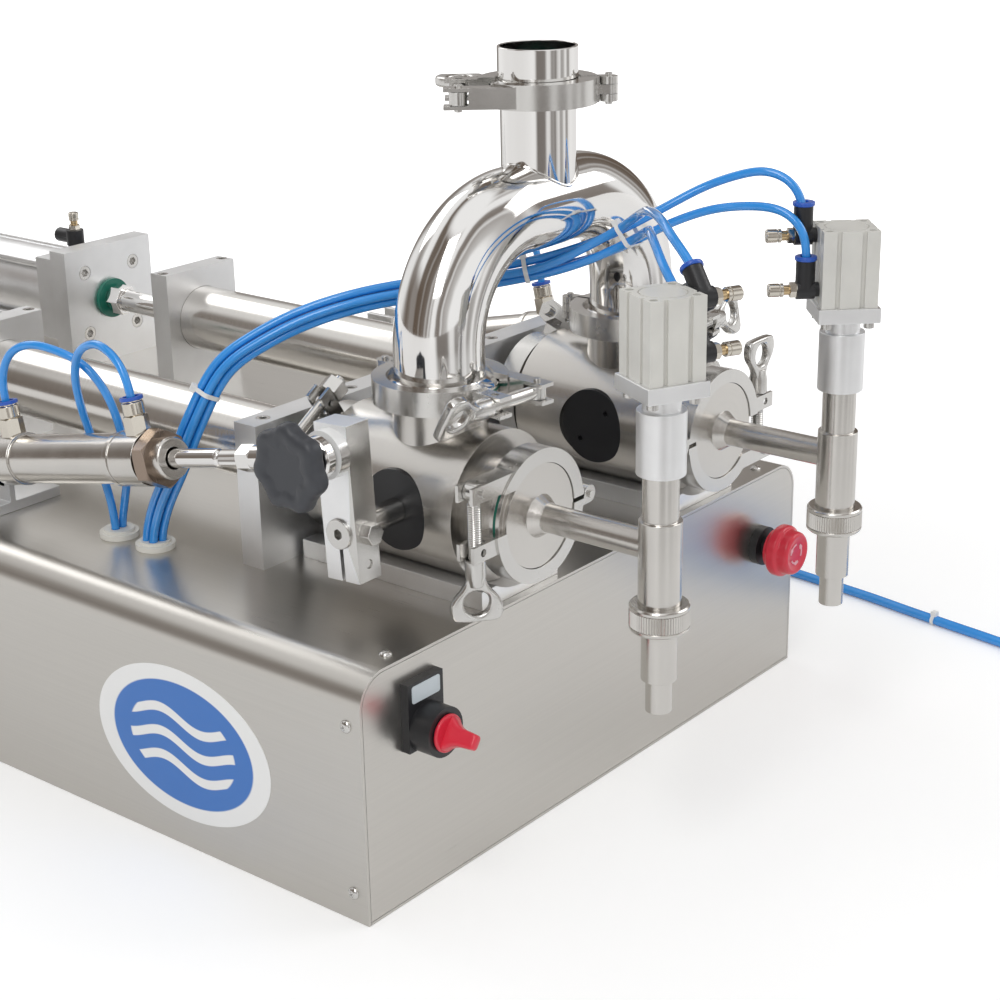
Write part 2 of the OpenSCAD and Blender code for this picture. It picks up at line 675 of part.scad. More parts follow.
// Socket-head screw with the top of its head at z = 0
module socket_screw(d, l) difference() {
    union() {
        rod_z(head_r(d), -d, 0);
        rod_z(d/2, -d - l, -d);
    }
    hex_z(head_r(d), -d/2, eps);
}
block_screw_l = 24;
rear_screw_l = 55;
module at_block_screws() for (x = screw_x) translate([x, front_block_y + block_t/2, block_top]) children();
module at_rear_screws() for (s = [-1, 1])
    translate([s*clamp_screw_x(), rear_block_y + block_t/2, block_top]) children();
module at_drive_screws() for (x = [-1, 1], z = [-1, 1])
    translate([x*tie_gap/2, drive_y, z*tie_gap/2]) rotate([90, 0, 0]) children();

module support_blocks() color(aluminium) rows() {
    difference() {
        block([-front_block_w/2, front_block_y, -axis_h], [front_block_w/2, front_block_y + block_t, block_top]);
        rod_y(pump_r + seat, front_block_y - eps, front_block_y + block_t + eps);
        at_block_screws() counterbore(block_screw_d, block_screw_l);
    }
    for (half = [[-axis_h, split_z], [split_z, block_top]]) difference() {
        block([-rear_block_w/2, rear_block_y, half[0]], [rear_block_w/2, rear_block_y + block_t, half[1]]);
        rod_y(pump_r + seat, rear_block_y - eps, rear_block_y + block_t + eps);
        at_rear_screws() counterbore(block_screw_d, rear_screw_l);
    }
    difference() {
        block([-drive_plate_w/2, drive_y, -axis_h], [drive_plate_w/2, drive_y + drive_plate_t, drive_plate_w/2]);
        rod_y(rod_d/2 + free, drive_y - eps, drive_y + drive_plate_t + eps);
        at_drive_screws() counterbore(drive_screw_d, drive_plate_t);
    }
    block([-cap_side/2, rear_cap_y + cap_len, -axis_h], [cap_side/2, rear_cap_y + cap_len + 8, cap_side/2]);
}

module at_mount_screws() for (x = [-1, 1], y = [-1, 1])
    translate([x, y, 0]*(nozzle_cyl_w/2 - 4.5)) children();
module cap_screws() color(steel) {
    rows() {
        at_block_screws() socket_screw(block_screw_d, block_screw_l);
        at_rear_screws() socket_screw(block_screw_d, rear_screw_l);
        at_drive_screws() socket_screw(drive_screw_d, drive_plate_t - drive_screw_d);
    }
    for (i = [0, 1]) at_nozzle(i) mirrored(i) rotate([0, 0, yaw[i]]) at_mount_screws()
        rod_z(3.6, mount_low - 4.5, mount_low);
}

// Drive cylinders
module tie_rods(r, a, b) for (x = [-1, 1], z = [-1, 1])
    translate([x*tie_gap/2, 0, z*tie_gap/2]) rod_y(r, a, b);
module drive_caps() color(aluminium) rows() difference() {
    union() {
        block([-cap_side/2, drive_cap_y, -cap_side/2], [cap_side/2, drive_cap_y + cap_len, cap_side/2]);
        block([-cap_side/2, rear_cap_y, -cap_side/2], [cap_side/2, rear_cap_y + cap_len, cap_side/2]);
    }
    rod_y(rod_d/2 + fit, drive_y, barrel_y + eps);
    tie_rods(4 + fit, barrel_y - 12, rear_cap_y + 12);
}
module drive_barrels() color(aluminium) rows() {
    ring_y(drive_bore/2 + 3, drive_bore/2, barrel_y, rear_cap_y);
    tie_rods(4, barrel_y - 12, rear_cap_y + 12);
}
module rod_seals() color(green) rows() ring_y(rod_d/2 + 8, rod_d/2 + fit, drive_y - 4, drive_y);

module piston(i) color(polished) in_row(i) {
    rod_y(pump_r - pump_wall - fit, piston_y, piston_y + piston_len);
    rod_y(rod_d/2, piston_y + piston_len, rear_cap_y - 20);
    difference() {
        hex_y(rod_d + 4, coupling_y, coupling_y + coupling_len);
        rod_y(rod_d/2, coupling_y - eps, coupling_y + coupling_len + eps);
    }
    ring_y(drive_bore/2 - fit, rod_d/2, rear_cap_y - 38, rear_cap_y - 20);
}

// Levers
module at_lever(i) on_lever(i) translate([0, core_y, 0]) rotate([-lever_lean, 0, 0]) children();
lever_in = lever_t - lever_x;
lever_low = -32;
clamp_screw_z = -21;
module lever_arm(i) color(aluminium) at_lever(i) difference() {
    union() {
        block([-lever_x, -lever_w/2, lever_low], [lever_in, lever_w/2, lever_r + 18]);
        translate([0, 0, lever_r]) rod_x(16, -lever_x - ring_t, -lever_x);
    }
    rod_x(shaft_d/2, -lever_x - eps, lever_in + eps);
    block([-lever_x - eps, -1.5, lever_low - eps], [lever_in + eps, 1.5, -1]);
    translate([lever_t/2 - lever_x, 0, clamp_screw_z]) rod_y(3, -lever_w, lever_w);
    translate([0, 0, lever_r]) rod_x(pin_d/2, -lever_x - ring_t - eps, lever_in + eps);
}

// Valve shaft, rod pin and the lever's two screws
module lever_shaft(i) color(steel) at_lever(i) {
    difference() {
        union() {
            rod_x(shaft_d/2, -lever_x - 2, lever_in);
            rod_x(shaft_d/2 - 1.5, lever_in - eps, -core_len/2);
        }
        translate([-lever_x - 2 - eps, 0, 0]) rotate([0, 90, 0]) cylinder(d = 7, h = 8, $fn = 6);
    }
    translate([0, 0, lever_r]) rod_x(pin_d/2, -knob_x - knob_hub - knob_t + knob_roof, lever_in);
    translate([lever_t/2 - lever_x, -lever_w/2, 0]) hex_y(13, -8, 0);
    translate([lever_t/2 - lever_x, 0, clamp_screw_z]) rod_y(3, -lever_w/2 + 1, lever_w/2 - 1);
}

lobes = 7;
lobe_r = 9;
knob_roof = 6;                                 // knob's thickness over the rod pin's end
module star_knob(i) color(dark) on_lever(i) translate([-knob_x, pin_y, pin_z]) rotate([0, -90, 0]) difference() {
    union() {
        rod_z(knob_hub_r, 0, knob_hub + 1);
        translate([0, 0, knob_hub]) linear_extrude(knob_t) {
            circle(knob_d/2 - 3);
            for (k = [1:lobes]) rotate(k*360/lobes) translate([knob_d/2 - lobe_r, 0]) circle(lobe_r);
        }
    }
    rod_z(pin_d/2 + fit, -eps, knob_hub + knob_t - knob_roof + fit);
}

lock_nut = 16;                                 // rod end's lock nut, across its flats
shank_s = knob_hub_r + 6;                      // where the rod end grows past the knob's neck
module swing_rod(i) color(polished) on_pin(i) difference() {
    union() {
        rod_x(14, -eye_w/2, eye_w/2);
        rod_y(eye_w/2 - eps, 9, shank_s);
        rod_y(9, shank_s, 54);
        hex_y(lock_nut, 54, 66);
        rod_y(swing_rod_d/2 - 1.5, 66, 88);
        rod_y(swing_rod_d/2, 84, swing_piston_s);
        rod_y(swing_d/2 - swing_wall - fit, swing_piston_s - 10, swing_piston_s);
    }
    rod_x(pin_d/2 + fit, -eye_w, eye_w);
}

swing_wall = 1.5;
swing_cap_r = swing_d/2 + 1.5;
swing_port_s = [swing_cap_s + 9, swing_rear_s + 10];
plug_top = 24;                                 // swing fittings: height above the cap
plug_low = -9;                                 // and depth of their hose sockets below its top
plug_free = 2.2;                               // room round the hose, which the cylinder moves past
module swing_cylinder(i) color(steel) on_pin(i) translate([0, slide_follow*rest_turn[i], 0]) difference() {
    union() {
        rod_y(swing_d/2 - 3, collar_s, swing_cap_s);
        hex_y(swing_d + 1, swing_nut_s, swing_cap_s - 1);
        rod_y(swing_cap_r, swing_cap_s, swing_tube_s);
        rod_y(swing_d/2, swing_tube_s, swing_rear_s);
        rod_y(swing_cap_r, swing_rear_s, swing_lug_s);
        block([-bracket_gap/2 + 1.5, swing_lug_s - 1, -9], [bracket_gap/2 - 1.5, swing_len, 9]);
        translate([0, swing_len, 0]) {
            rod_x(9, -bracket_gap/2 + 1.5, bracket_gap/2 - 1.5);
            rod_x(pivot_pin_d/2, -bracket_gap/2 - bracket_t - 3, bracket_gap/2 + bracket_t + 3);
        }
        for (s = swing_port_s) translate([0, s, swing_cap_r]) {
            hex_z(15, -3, 12);
            rod_z(7.5, 12, plug_top - 4);
            rod_z(8, plug_top - 3, plug_top);
            rod_z(6.5, 12, plug_top);
        }
    }
    rod_y(swing_rod_d/2 + fit, collar_s - eps, swing_tube_s + eps);
    rod_y(swing_d/2 - swing_wall, swing_tube_s - 4, swing_rear_s);
    for (s = swing_port_s) translate([0, s, swing_cap_r]) rod_z(hose_d/2 + plug_free, plug_low, plug_top + eps);
}

// The slots leave room for the rear pin, where the linkage is opened
pivot_y = pin_y + swing_len*cos(swing_tilt);
pivot_z = pin_z - swing_len*sin(swing_tilt);
slot_half = 8;
foot_t = 8;
foot_in = 55;
module pivot_brackets() color(aluminium) rows() translate([-eye_x, pivot_y, 0]) {
    difference() {
        for (s = [-1, 1]) translate([s*(bracket_gap/2 + bracket_t/2), 0, 0])
            block([-bracket_t/2, -14, foot_t - axis_h - 1], [bracket_t/2, 14, pivot_z + pivot_pin_d/2 + 10]);
        block([-bracket_gap, -slot_half, pivot_z - pivot_pin_d/2 - slot_drop],
              [bracket_gap, slot_half, pivot_z + pivot_pin_d/2 + free]);
    }
    block([-bracket_gap/2 - bracket_t, -14, -axis_h], [foot_in, 14, foot_t - axis_h]);
}

// Outlets and nozzles
cover_cone = 5;                                // how far a cover's cone spreads past its tube
module outlet_covers() color(steel) rows() difference() {
    union() {
        rod_y(flange_r, front_joint_y - joint_half, front_joint_y - gasket_t/2);
        rod_y(lip_r - free, front_joint_y - clamp_w/2 + 1, front_joint_y - joint_half);
        translate([0, front_joint_y - clamp_w/2 + 1, 0]) rotate([90, 0, 0])
            cylinder(r1 = outlet_d/2 + cover_cone, r2 = outlet_d/2 + 0.5, h = cover_cone + 2);
        rod_y(outlet_d/2, 9 - nozzle_y, front_joint_y);
    }
    rod_y(outlet_d/2 - 1.5, -nozzle_y, front_joint_y + eps);
}

module nozzle_bodies() color(polished) nozzles() {
    difference() {
        union() {
            rod_z(tee_d/2, tee_low, tee_high);
            rod_z(spout_d/2, tee_high, gland_top);
        }
        rod_z(9, tee_low - eps, tee_high + 14);
        rod_z(stem_d/2 + fit, 0, gland_top + eps);
        rod_y(outlet_d/2 + fit, 0, tee_d);
    }
    difference() {
        union() {
            rod_z(tee_d/2 - 0.3, tee_low - 3, tee_low);
            rod_z(spout_d/2, spout_low, tee_low - 3);
            rod_z(tip_d/2, tip_low, spout_low);
        }
        rod_z(tip_d/2 - 1.5, seat_z, tee_low + eps);
        rod_z(tip_d/2 - 3.5, tip_low - eps, seat_z + eps);
    }
}

module nozzle_nut(i) color(steel) at_nozzle(i) difference() {
    rod_z(nut_d/2, nut_low, nut_low + nut_h);
    rod_z(tee_d/2 + fit, tee_low - 3 - free, nut_low + nut_h + eps);
    rod_z(spout_d/2 + fit, nut_low - eps, tee_low);
}

module nozzle_stem(i) color(polished) at_nozzle(i) {
    rod_z(tip_d/2 - 3.5 - fit, tip_low + 0.5, seat_z + 0.2);
    rod_z(tip_d/2 - 2, seat_z + 0.2, seat_z + 9);
    rod_z(stem_d/2, seat_z + 9, cyl_low + 10);
    rod_z(nozzle_cyl_w/2 - 5 - fit, cyl_low + 6, cyl_low + 14);
}

module cylinder_mounts() color(aluminium) for (i = [0, 1]) at_nozzle(i) mirrored(i) difference() {
    union() {
        rod_z(sleeve_d/2, sleeve_low, sleeve_high);
        rod_z(sleeve_d/2 - 3.5, sleeve_high - 1, mount_low + 1);
        rotate([0, 0, yaw[i]]) translate([0, 0, mount_low]) linear_extrude(mount_flange_t)
            square(nozzle_cyl_w + 4, center = true);
    }
    rod_z(spout_d/2 + fit, sleeve_low - eps, gland_top + free);
    rod_z(stem_d/2 + 3, gland_top, sleeve_high);
    rod_z(stem_d/2 + fit, sleeve_high - eps, cyl_low + eps);
}

module nozzle_cylinder_outline() difference() {
    square(nozzle_cyl_w, center = true);
    for (a = [0:90:270], t = [-1, 1]) rotate(a) translate([nozzle_cyl_w/2, t*nozzle_cyl_w*0.22])
        square([4, 3], center = true);
}
module nozzle_cylinders() color(cream) for (i = [0, 1]) at_nozzle(i) mirrored(i) rotate([0, 0, yaw[i]])
    translate([0, 0, cyl_low]) difference() {
        linear_extrude(nozzle_cyl_h) nozzle_cylinder_outline();
        rod_z(nozzle_cyl_w/2 - 5, -eps, nozzle_cyl_h - 6);
        ring_z(nozzle_cyl_w/2 - 4, nozzle_cyl_w/2 - 4.8, nozzle_cyl_h - 1, nozzle_cyl_h + eps);
        at_mount_screws() rod_z(2.5, nozzle_cyl_h - 12, nozzle_cyl_h + eps);
    }

// Air fittings; a speed controller lies along +x from its port with its hose end up
barrel_top = 23;
barrel_x = 9;
module speed_controller(roll) {
    rod_x(5, 0, 3);
    rod_x(6.5, 3, 15);
    rod_x(3, 15, 20);
    rod_x(4.5, 20, 34);
    translate([barrel_x, 0, 0]) rotate([-roll, 0, 0]) rod_z(6.5, 0, barrel_top - 3);
}
module at_port(i, k) at_nozzle(i) mirrored(i) rotate([0, 0, yaw[i] + port_turn[i]])
    translate([nozzle_cyl_w/2, (0.5 - k)*2*port_side[i], cyl_low + port_z[k]]) children();
module at_drive_ports() rows() for (y = [drive_cap_y + cap_len*0.65, rear_cap_y + cap_len*0.5])
    translate([0, y, cap_side/2]) children();

module hose_fittings() color(nickel) {
    for (i = [0, 1], k = [0, 1]) at_port(i, k) difference() {
        speed_controller(port_roll[i]);
        translate([barrel_x, 0, 0]) rotate([-port_roll[i], 0, 0]) rod_z(hose_d/2 + socket_free, 3, barrel_top);
    }
    at_drive_ports() {
        rod_z(7, 0, 6);
        rod_z(8, 6, 20);
        translate([0, 0, 13]) rod_y(6.5, 0, 22);
        rod_z(4.5, 20, 36);
    }
}
module fitting_collars() color(blue) for (i = [0, 1], k = [0, 1]) at_port(i, k)
    translate([barrel_x, 0, 0]) rotate([-port_roll[i], 0, 0])
        ring_z(7.5, hose_d/2 + socket_free, barrel_top - 3, barrel_top);

// Controls
selector_face = -label_t - bezel_len;
module switch_housings() color(dark) from_front() {
    translate([-selector_x, 0, selector_z]) difference() {
        union() {
            block([-selector_d/2, -label_t, label_z[0]], [selector_d/2, 0, label_z[1]]);
            rod_y(selector_d/2, selector_face, -label_t);
            rod_y(11, 0, 8);
            block([-14, 8, -20], [14, 46, 20]);
        }
        rod_y(8, selector_face - eps, 20);
    }
    translate([stop_x, 0, stop_z]) difference() {
        union() {
            rod_y(bezel_d/2, -stop_collar, 0);
            rod_y(11, 0, 8);
            block([-14, 8, -20], [14, 46, 20]);
        }
        rod_y(8, -stop_collar - eps, 30);
    }
}
module selector_knob() color(red) from_front() translate([-selector_x, 0, selector_z]) {
    rod_y(8 - fit, selector_face - 2, 10);
    rod_y(selector_disc_d/2, selector_face - 3, selector_face - free);
    rotate([0, grip_turn, 0]) translate([grip.x/2, selector_face, 0]) rotate([0, -90, 0]) linear_extrude(grip.x)
        polygon([[-grip.z/2, -2], [grip.z/2, -2], [grip_tip/2 + 1, -grip.y*0.4], [grip_tip/2, -grip.y],
                 [-grip_tip/2, -grip.y], [-grip_tip/2 - 1, -grip.y*0.4]]);
}
stop_collar = 7;                               // collar's depth
stop_skirt = 4;
stop_head = 15;
stop_brim = 9;                                 // mushroom's wide part: depth
stop_step = 3;                                 // step from the wide part to the face
stop_stem_r = 6;
stop_low = -stop_collar - stop_travel - 1;     // mushroom's inner end
stop_rim = stop_low - stop_skirt;
stop_face = stop_rim - stop_head;
module stop_stem() color(dark) from_front() translate([stop_x, 0, stop_z]) {
    rod_y(8 - fit, stop_low + free, 10);
    rod_y(stop_stem_r, stop_rim - 4, stop_low + 1);
}
module stop_button() color(red) from_front() translate([stop_x, 0, stop_z]) difference() {
    union() {
        rod_y(stop_d/2 - 5, stop_rim, stop_low);
        rod_y(stop_d/2, stop_rim - stop_brim, stop_rim);
        rod_y(stop_d/2 - stop_step, stop_face - 1, stop_rim - stop_brim + eps);
        translate([0, stop_face - 1, 0]) rotate([90, 0, 0])
            cylinder(r1 = stop_d/2 - stop_step, r2 = stop_d/2 - stop_step - 2, h = 2);
    }
    rod_y(stop_stem_r + fit, stop_rim - 4 - fit, stop_low + eps);
}

// Inside the base, and its inlets
units_y = 420;                                 // units in the base: front ends
island_x = 120;                                // valve island: its middle, rail, valves and their coils
rail = [80, 200, 24];
valve = [72, 22, 34];
coil = [24, 16, 26];
solenoids = 6;
unit_x = 90;                                   // control unit: its middle and the pieces on its plate
unit_gap = 18;
carrier = [160, 260, 8];
controller = [70, 130, 70];
supply = [55, 90, 60];
relay = [12, 44, 38];
relays = 8;
module valve_island() color(aluminium) from_front() translate([-island_x, units_y, sheet_t]) {
    translate([-rail.x/2, 0, 0]) cube(rail);
    for (k = [1:solenoids]) translate([-valve.x/2, (k - 0.5)*rail.y/solenoids - valve.y/2, rail.z]) {
        cube(valve);
        translate([valve.x/8, (valve.y - coil.y)/2, valve.z]) cube(coil);
    }
}
module control_unit() color("#7d8790") from_front() translate([unit_x, units_y, sheet_t]) {
    translate([-carrier.x/2, 0, 0]) cube(carrier);
    translate([-controller.x, unit_gap, carrier.z]) cube(controller);
    translate([unit_gap, unit_gap, carrier.z]) cube(supply);
    for (k = [0:relays - 1])
        translate([(k - relays/2)*relay.x*4/3, carrier.y - relay.y - unit_gap*2, carrier.z]) cube(relay);
}
module power_inlet() color(dark) from_front() translate([0, base_len, 50]) difference() {
    union() {
        block([-24, 0, -15], [24, 3, 15]);
        block([-14, -28, -10], [14, 0, 10]);
    }
    block([-11, -22, -7], [11, 3 + eps, 7]);
}
module air_inlet() color(nickel) from_front() translate([base_w/2, inlet_y, inlet_z]) difference() {
    union() {
        rod_x(inlet_r, -24, 20);
        rotate([0, 90, 0]) hex_z(20, 0, 7);
        rotate([0, 90, 0]) hex_z(20, -sheet_t - 7, -sheet_t);
    }
    rod_x(supply_d/2 + fit, 4, 20 + eps);
}

// A tube swept along points; side is any direction across its first stretch
function unit(v) = v/norm(v);
function way(p, i) = unit(p[min(i + 1, len(p) - 1)] - p[max(i - 1, 0)]);
function sides_of(p, side, i = 0) =
    let (t = way(p, i), n = unit(side - t*(side*t)))
    i == len(p) - 1 ? [n] : concat([n], sides_of(p, n, i + 1));
module tube(p, r, count, side) {
    n = sides_of(p, side);
    last = (len(p) - 1)*count;
    points = [for (i = [0:len(p) - 1], k = [0:count - 1])
        let (a = 360*k/count) p[i] + r*(cos(a)*n[i] + sin(a)*cross(way(p, i), n[i]))];
    walls = [for (i = [0:len(p) - 2], k = [0:count - 1])
        let (a = i*count + k, b = i*count + (k + 1)%count)
        each [[a, a + count, b], [b, a + count, b + count]]];
    caps = [for (k = [1:count - 2]) each [[0, k, k + 1], [last, last + k + 1, last + k]]];
    polyhedron(points, concat(walls, caps));
}
function strand(place, count) =
    let (n = sides_of(bundle, [1, 0, 0]), a = 72*place)
    [for (i = [0:count - 1]) bundle[i] + bundle_r*(cos(a)*n[i] + sin(a)*cross(way(bundle, i), n[i]))];

module control_hoses() color(blue) from_front() {
    for (h = bundle_hoses) tube(concat(strand(h[0], h[1]), h[2]), hose_d/2, 8, [1, 0, 0]);
    for (h = swing_hoses) tube(h, hose_d/2, 8, [1, 0, 0]);
}
module supply_hose() color(blue) from_front() tube(supply_points, supply_d/2, 8, [0, 0, 1]);

// The coil spirals in on the ground, climbs and spirals out again on top
coil_start = supply_points[len(supply_points) - 1] - [0, coil_lead, 0];
coil_out = coil_r + coil_half/2*coil_step;
function coil_climb(t) = min(max((t - coil_half + 0.25)*2, 0), 1);
function coil_point(t) =
    let (r = coil_out - coil_step*min(t, coil_turns - t))
    coil_start + [coil_out - r*cos(360*t), -r*sin(360*t), coil_step*coil_climb(t)];
coil_loops = [for (k = [0:coil_turns*coil_rings]) coil_point(k/coil_rings)];
coil_end = coil_loops[len(coil_loops) - 1] - [0, coil_tail, 0];
coil_points = concat([coil_start + [0, coil_lead, 0]], coil_loops, [coil_end]);
coil_gap = min([for (i = [0:len(coil_points) - 1], j = [i + coil_rings/2:len(coil_points) - 1])
    norm(coil_points[i] - coil_points[j])]) - supply_d;
module supply_coil() color(blue) from_front() {
    echo(coil_gap = coil_gap);
    tube(coil_points, supply_d/2, 6, [0, 0, 1]);
}
module supply_connector() color(nickel) from_front() translate(coil_end) rotate([90, 0, 0]) {
    hex_z(14, 0, 12);
    rod_z(7, 12, 30);
    rod_z(4.5, 30, 48);
}

base_cover();
front_panel();
rear_panel();
base_plate();
panel_screws();
hose_grommets();
valve_plates();
valve_bodies();
support_blocks();
cap_screws();
pump_tubes();
drive_caps();
drive_barrels();
rod_seals();
inlet_pipe();
ferrule_gaskets();
outlet_covers();
nozzle_bodies();
cylinder_mounts();
nozzle_cylinders();
hose_fittings();
fitting_collars();
pivot_brackets();
switch_housings();
air_inlet();
valve_island();
control_unit();
power_inlet();
clamp_bands();
clamp_bolts();
valve_core(0);  // valve_core_1
valve_core(1);  // valve_core_2
lever_arm(0);  // lever_arm_1
lever_arm(1);  // lever_arm_2
lever_shaft(0);  // lever_shaft_1
lever_shaft(1);  // lever_shaft_2
swing_rod(0);  // swing_rod_1
swing_rod(1);  // swing_rod_2
swing_cylinder(0);  // swing_cylinder_1
swing_cylinder(1);  // swing_cylinder_2
star_knob(0);  // star_knob_1
star_knob(1);  // star_knob_2
piston(0);  // piston_1
piston(1);  // piston_2
nozzle_stem(0);  // nozzle_stem_1
nozzle_stem(1);  // nozzle_stem_2
nozzle_nut(0);  // nozzle_nut_1
nozzle_nut(1);  // nozzle_nut_2
selector_knob();
stop_stem();
stop_button();
front_wing_nut(0);  // wing_nut_1
front_wing_nut(1);  // wing_nut_2
inlet_wing_nut(0);  // wing_nut_3
inlet_wing_nut(1);  // wing_nut_4
feed_wing_nut();  // wing_nut_5
control_hoses();
supply_hose();
supply_coil();
supply_connector();
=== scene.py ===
"""Looks for a twin-nozzle bench filling machine, dressed over its packed CAD model.

Sizes are metres in the CAD model's frame: the origin is the middle of the base's underside,
+Z is up, the nozzles face -Y and +X is the machine's right-hand side.
"""

import json
import math
from types import SimpleNamespace

import bmesh
import bpy
from bpy.props import FloatProperty, FloatVectorProperty, IntProperty, PointerProperty
from mathutils import Matrix, Vector

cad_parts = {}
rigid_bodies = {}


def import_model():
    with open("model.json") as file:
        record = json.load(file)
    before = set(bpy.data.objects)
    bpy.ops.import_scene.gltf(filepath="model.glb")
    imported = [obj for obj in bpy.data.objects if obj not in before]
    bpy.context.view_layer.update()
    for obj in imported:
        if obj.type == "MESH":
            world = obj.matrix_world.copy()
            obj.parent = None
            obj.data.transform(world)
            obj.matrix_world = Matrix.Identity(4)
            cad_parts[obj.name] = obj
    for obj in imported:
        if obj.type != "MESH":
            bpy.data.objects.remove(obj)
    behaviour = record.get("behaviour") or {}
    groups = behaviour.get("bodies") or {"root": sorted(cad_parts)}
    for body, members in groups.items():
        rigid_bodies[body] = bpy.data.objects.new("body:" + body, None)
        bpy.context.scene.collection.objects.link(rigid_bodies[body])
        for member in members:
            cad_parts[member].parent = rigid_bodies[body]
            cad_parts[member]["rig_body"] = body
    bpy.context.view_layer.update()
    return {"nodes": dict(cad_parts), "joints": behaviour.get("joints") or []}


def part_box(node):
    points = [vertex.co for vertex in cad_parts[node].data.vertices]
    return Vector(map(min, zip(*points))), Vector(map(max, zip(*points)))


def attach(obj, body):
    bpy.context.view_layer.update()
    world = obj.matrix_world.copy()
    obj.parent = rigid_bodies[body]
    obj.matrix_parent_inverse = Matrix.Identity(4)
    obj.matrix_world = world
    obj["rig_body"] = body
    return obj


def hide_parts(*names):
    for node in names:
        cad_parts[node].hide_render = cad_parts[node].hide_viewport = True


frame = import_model()

bl_info = {
    "name": "Filling machine looks",
    "version": (1, 0, 0),
    "blender": (4, 5, 0),
    "location": "3D View > Sidebar > Filler",
    "description": "Finishes, hoses and small pieces of a bench filling machine",
    "category": "Object",
}

# Places read from the frame
NODES = frame["nodes"]
JOINTS = {j["name"]: j for j in frame["joints"]}
ROWS = (1, 2)
ROW_X = {n: JOINTS[f"lever_turn_{n}"]["pos_m"][0] for n in ROWS}
CORE_Y, AXIS_Z = JOINTS["lever_turn_1"]["pos_m"][1:]
NOZZLE_Y = JOINTS["nut_turn_1"]["pos_m"][1]
INLET_Z = JOINTS["wing_turn_3"]["pos_m"][2]
FEED_Z = JOINTS["wing_turn_5"]["pos_m"][2]
FRONT_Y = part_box("base_cover")[0].y
LEFT_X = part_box("base_cover")[0].x
ROW_MIDDLE = (ROW_X[1] + ROW_X[2]) / 2
ROW_HALF = (ROW_X[2] - ROW_X[1]) / 2
X, Y, Z = Vector((1, 0, 0)), Vector((0, 1, 0)), Vector((0, 0, 1))

# Hoses: the routes of the CAD model, in metres, with y from the front panel
HOSE_SIZE = 0.006
BUNDLE_RADIUS = 0.0058
BUNDLE = (
    (-0.174, 0.263, 0.150), (-0.174, 0.263, 0.164), (-0.174, 0.263, 0.178), (-0.172, 0.256, 0.202),
    (-0.168, 0.241, 0.232), (-0.160, 0.229, 0.265), (-0.143, 0.214, 0.303), (-0.122, 0.196, 0.321),
    (-0.098, 0.176, 0.334), (-0.070, 0.152, 0.343), (-0.035, 0.128, 0.347), (0.005, 0.105, 0.350),
    (0.030, 0.075, 0.357),
)
# Each hose's place in the bundle, how many of its points it follows, and its own points from there
BUNDLE_HOSES = {
    "left_upper": (3, 13, (
        (0.043, 0.046, 0.372), (0.048, 0.022, 0.387), (0.035, -0.002, 0.401), (0.005, -0.030, 0.412),
        (-0.025, -0.060, 0.416), (-0.042, -0.081, 0.410), (-0.0532, -0.1017, 0.3983),
        (-0.0591, -0.1137, 0.3848))),
    "left_lower": (4, 13, (
        (0.044, 0.046, 0.362), (0.052, 0.020, 0.376), (0.041, -0.004, 0.389), (0.010, -0.028, 0.397),
        (-0.016, -0.050, 0.397), (-0.035, -0.070, 0.389), (-0.046, -0.087, 0.378),
        (-0.0532, -0.1017, 0.3643), (-0.0591, -0.1137, 0.3508))),
    "right_upper": (2, 13, (
        (0.054, 0.048, 0.373), (0.066, 0.026, 0.385), (0.079, 0.006, 0.398), (0.095, -0.014, 0.411),
        (0.104, -0.033, 0.419), (0.110, -0.050, 0.423), (0.114, -0.0645, 0.4195), (0.1156, -0.0740, 0.411),
        (0.1156, -0.0784, 0.399), (0.1156, -0.0788, 0.386))),
    "right_lower": (0, 13, (
        (0.055, 0.048, 0.362), (0.067, 0.024, 0.374), (0.077, 0.002, 0.387), (0.088, -0.022, 0.397),
        (0.097, -0.042, 0.4005), (0.103, -0.0645, 0.4005), (0.105, -0.076, 0.396), (0.1059, -0.0843, 0.387),
        (0.1059, -0.0875, 0.375), (0.1059, -0.0875, 0.352))),
    "right_swing": (1, 11, (
        (0.005, 0.124, 0.349), (0.060, 0.134, 0.352), (0.110, 0.156, 0.356), (0.160, 0.196, 0.357),
        (0.205, 0.232, 0.350), (0.232, 0.248, 0.334), (0.243, 0.250, 0.312), (0.244, 0.2451, 0.2904),
        (0.244, 0.2425, 0.2723))),
}
SWING_HOSES = {
    "left_swing_front": (
        (-0.200, 0.2425, 0.2723), (-0.200, 0.2451, 0.2904), (-0.199, 0.255, 0.310), (-0.197, 0.278, 0.320),
        (-0.195, 0.301, 0.311), (-0.191, 0.313, 0.290), (-0.184, 0.318, 0.264), (-0.178, 0.317, 0.240),
        (-0.176, 0.312, 0.216), (-0.177, 0.304, 0.196), (-0.1773, 0.301, 0.178), (-0.1773, 0.301, 0.150)),
    "left_swing_rear": (
        (-0.200, 0.379, 0.2454), (-0.200, 0.382, 0.2624), (-0.200, 0.3825, 0.279), (-0.199, 0.374, 0.297),
        (-0.196, 0.355, 0.307), (-0.190, 0.332, 0.305), (-0.183, 0.312, 0.296), (-0.178, 0.297, 0.277),
        (-0.174, 0.290, 0.250), (-0.171, 0.290, 0.222), (-0.171, 0.296, 0.196), (-0.1707, 0.301, 0.178),
        (-0.1707, 0.301, 0.150)),
}
SUPPLY_SIZE = 0.008
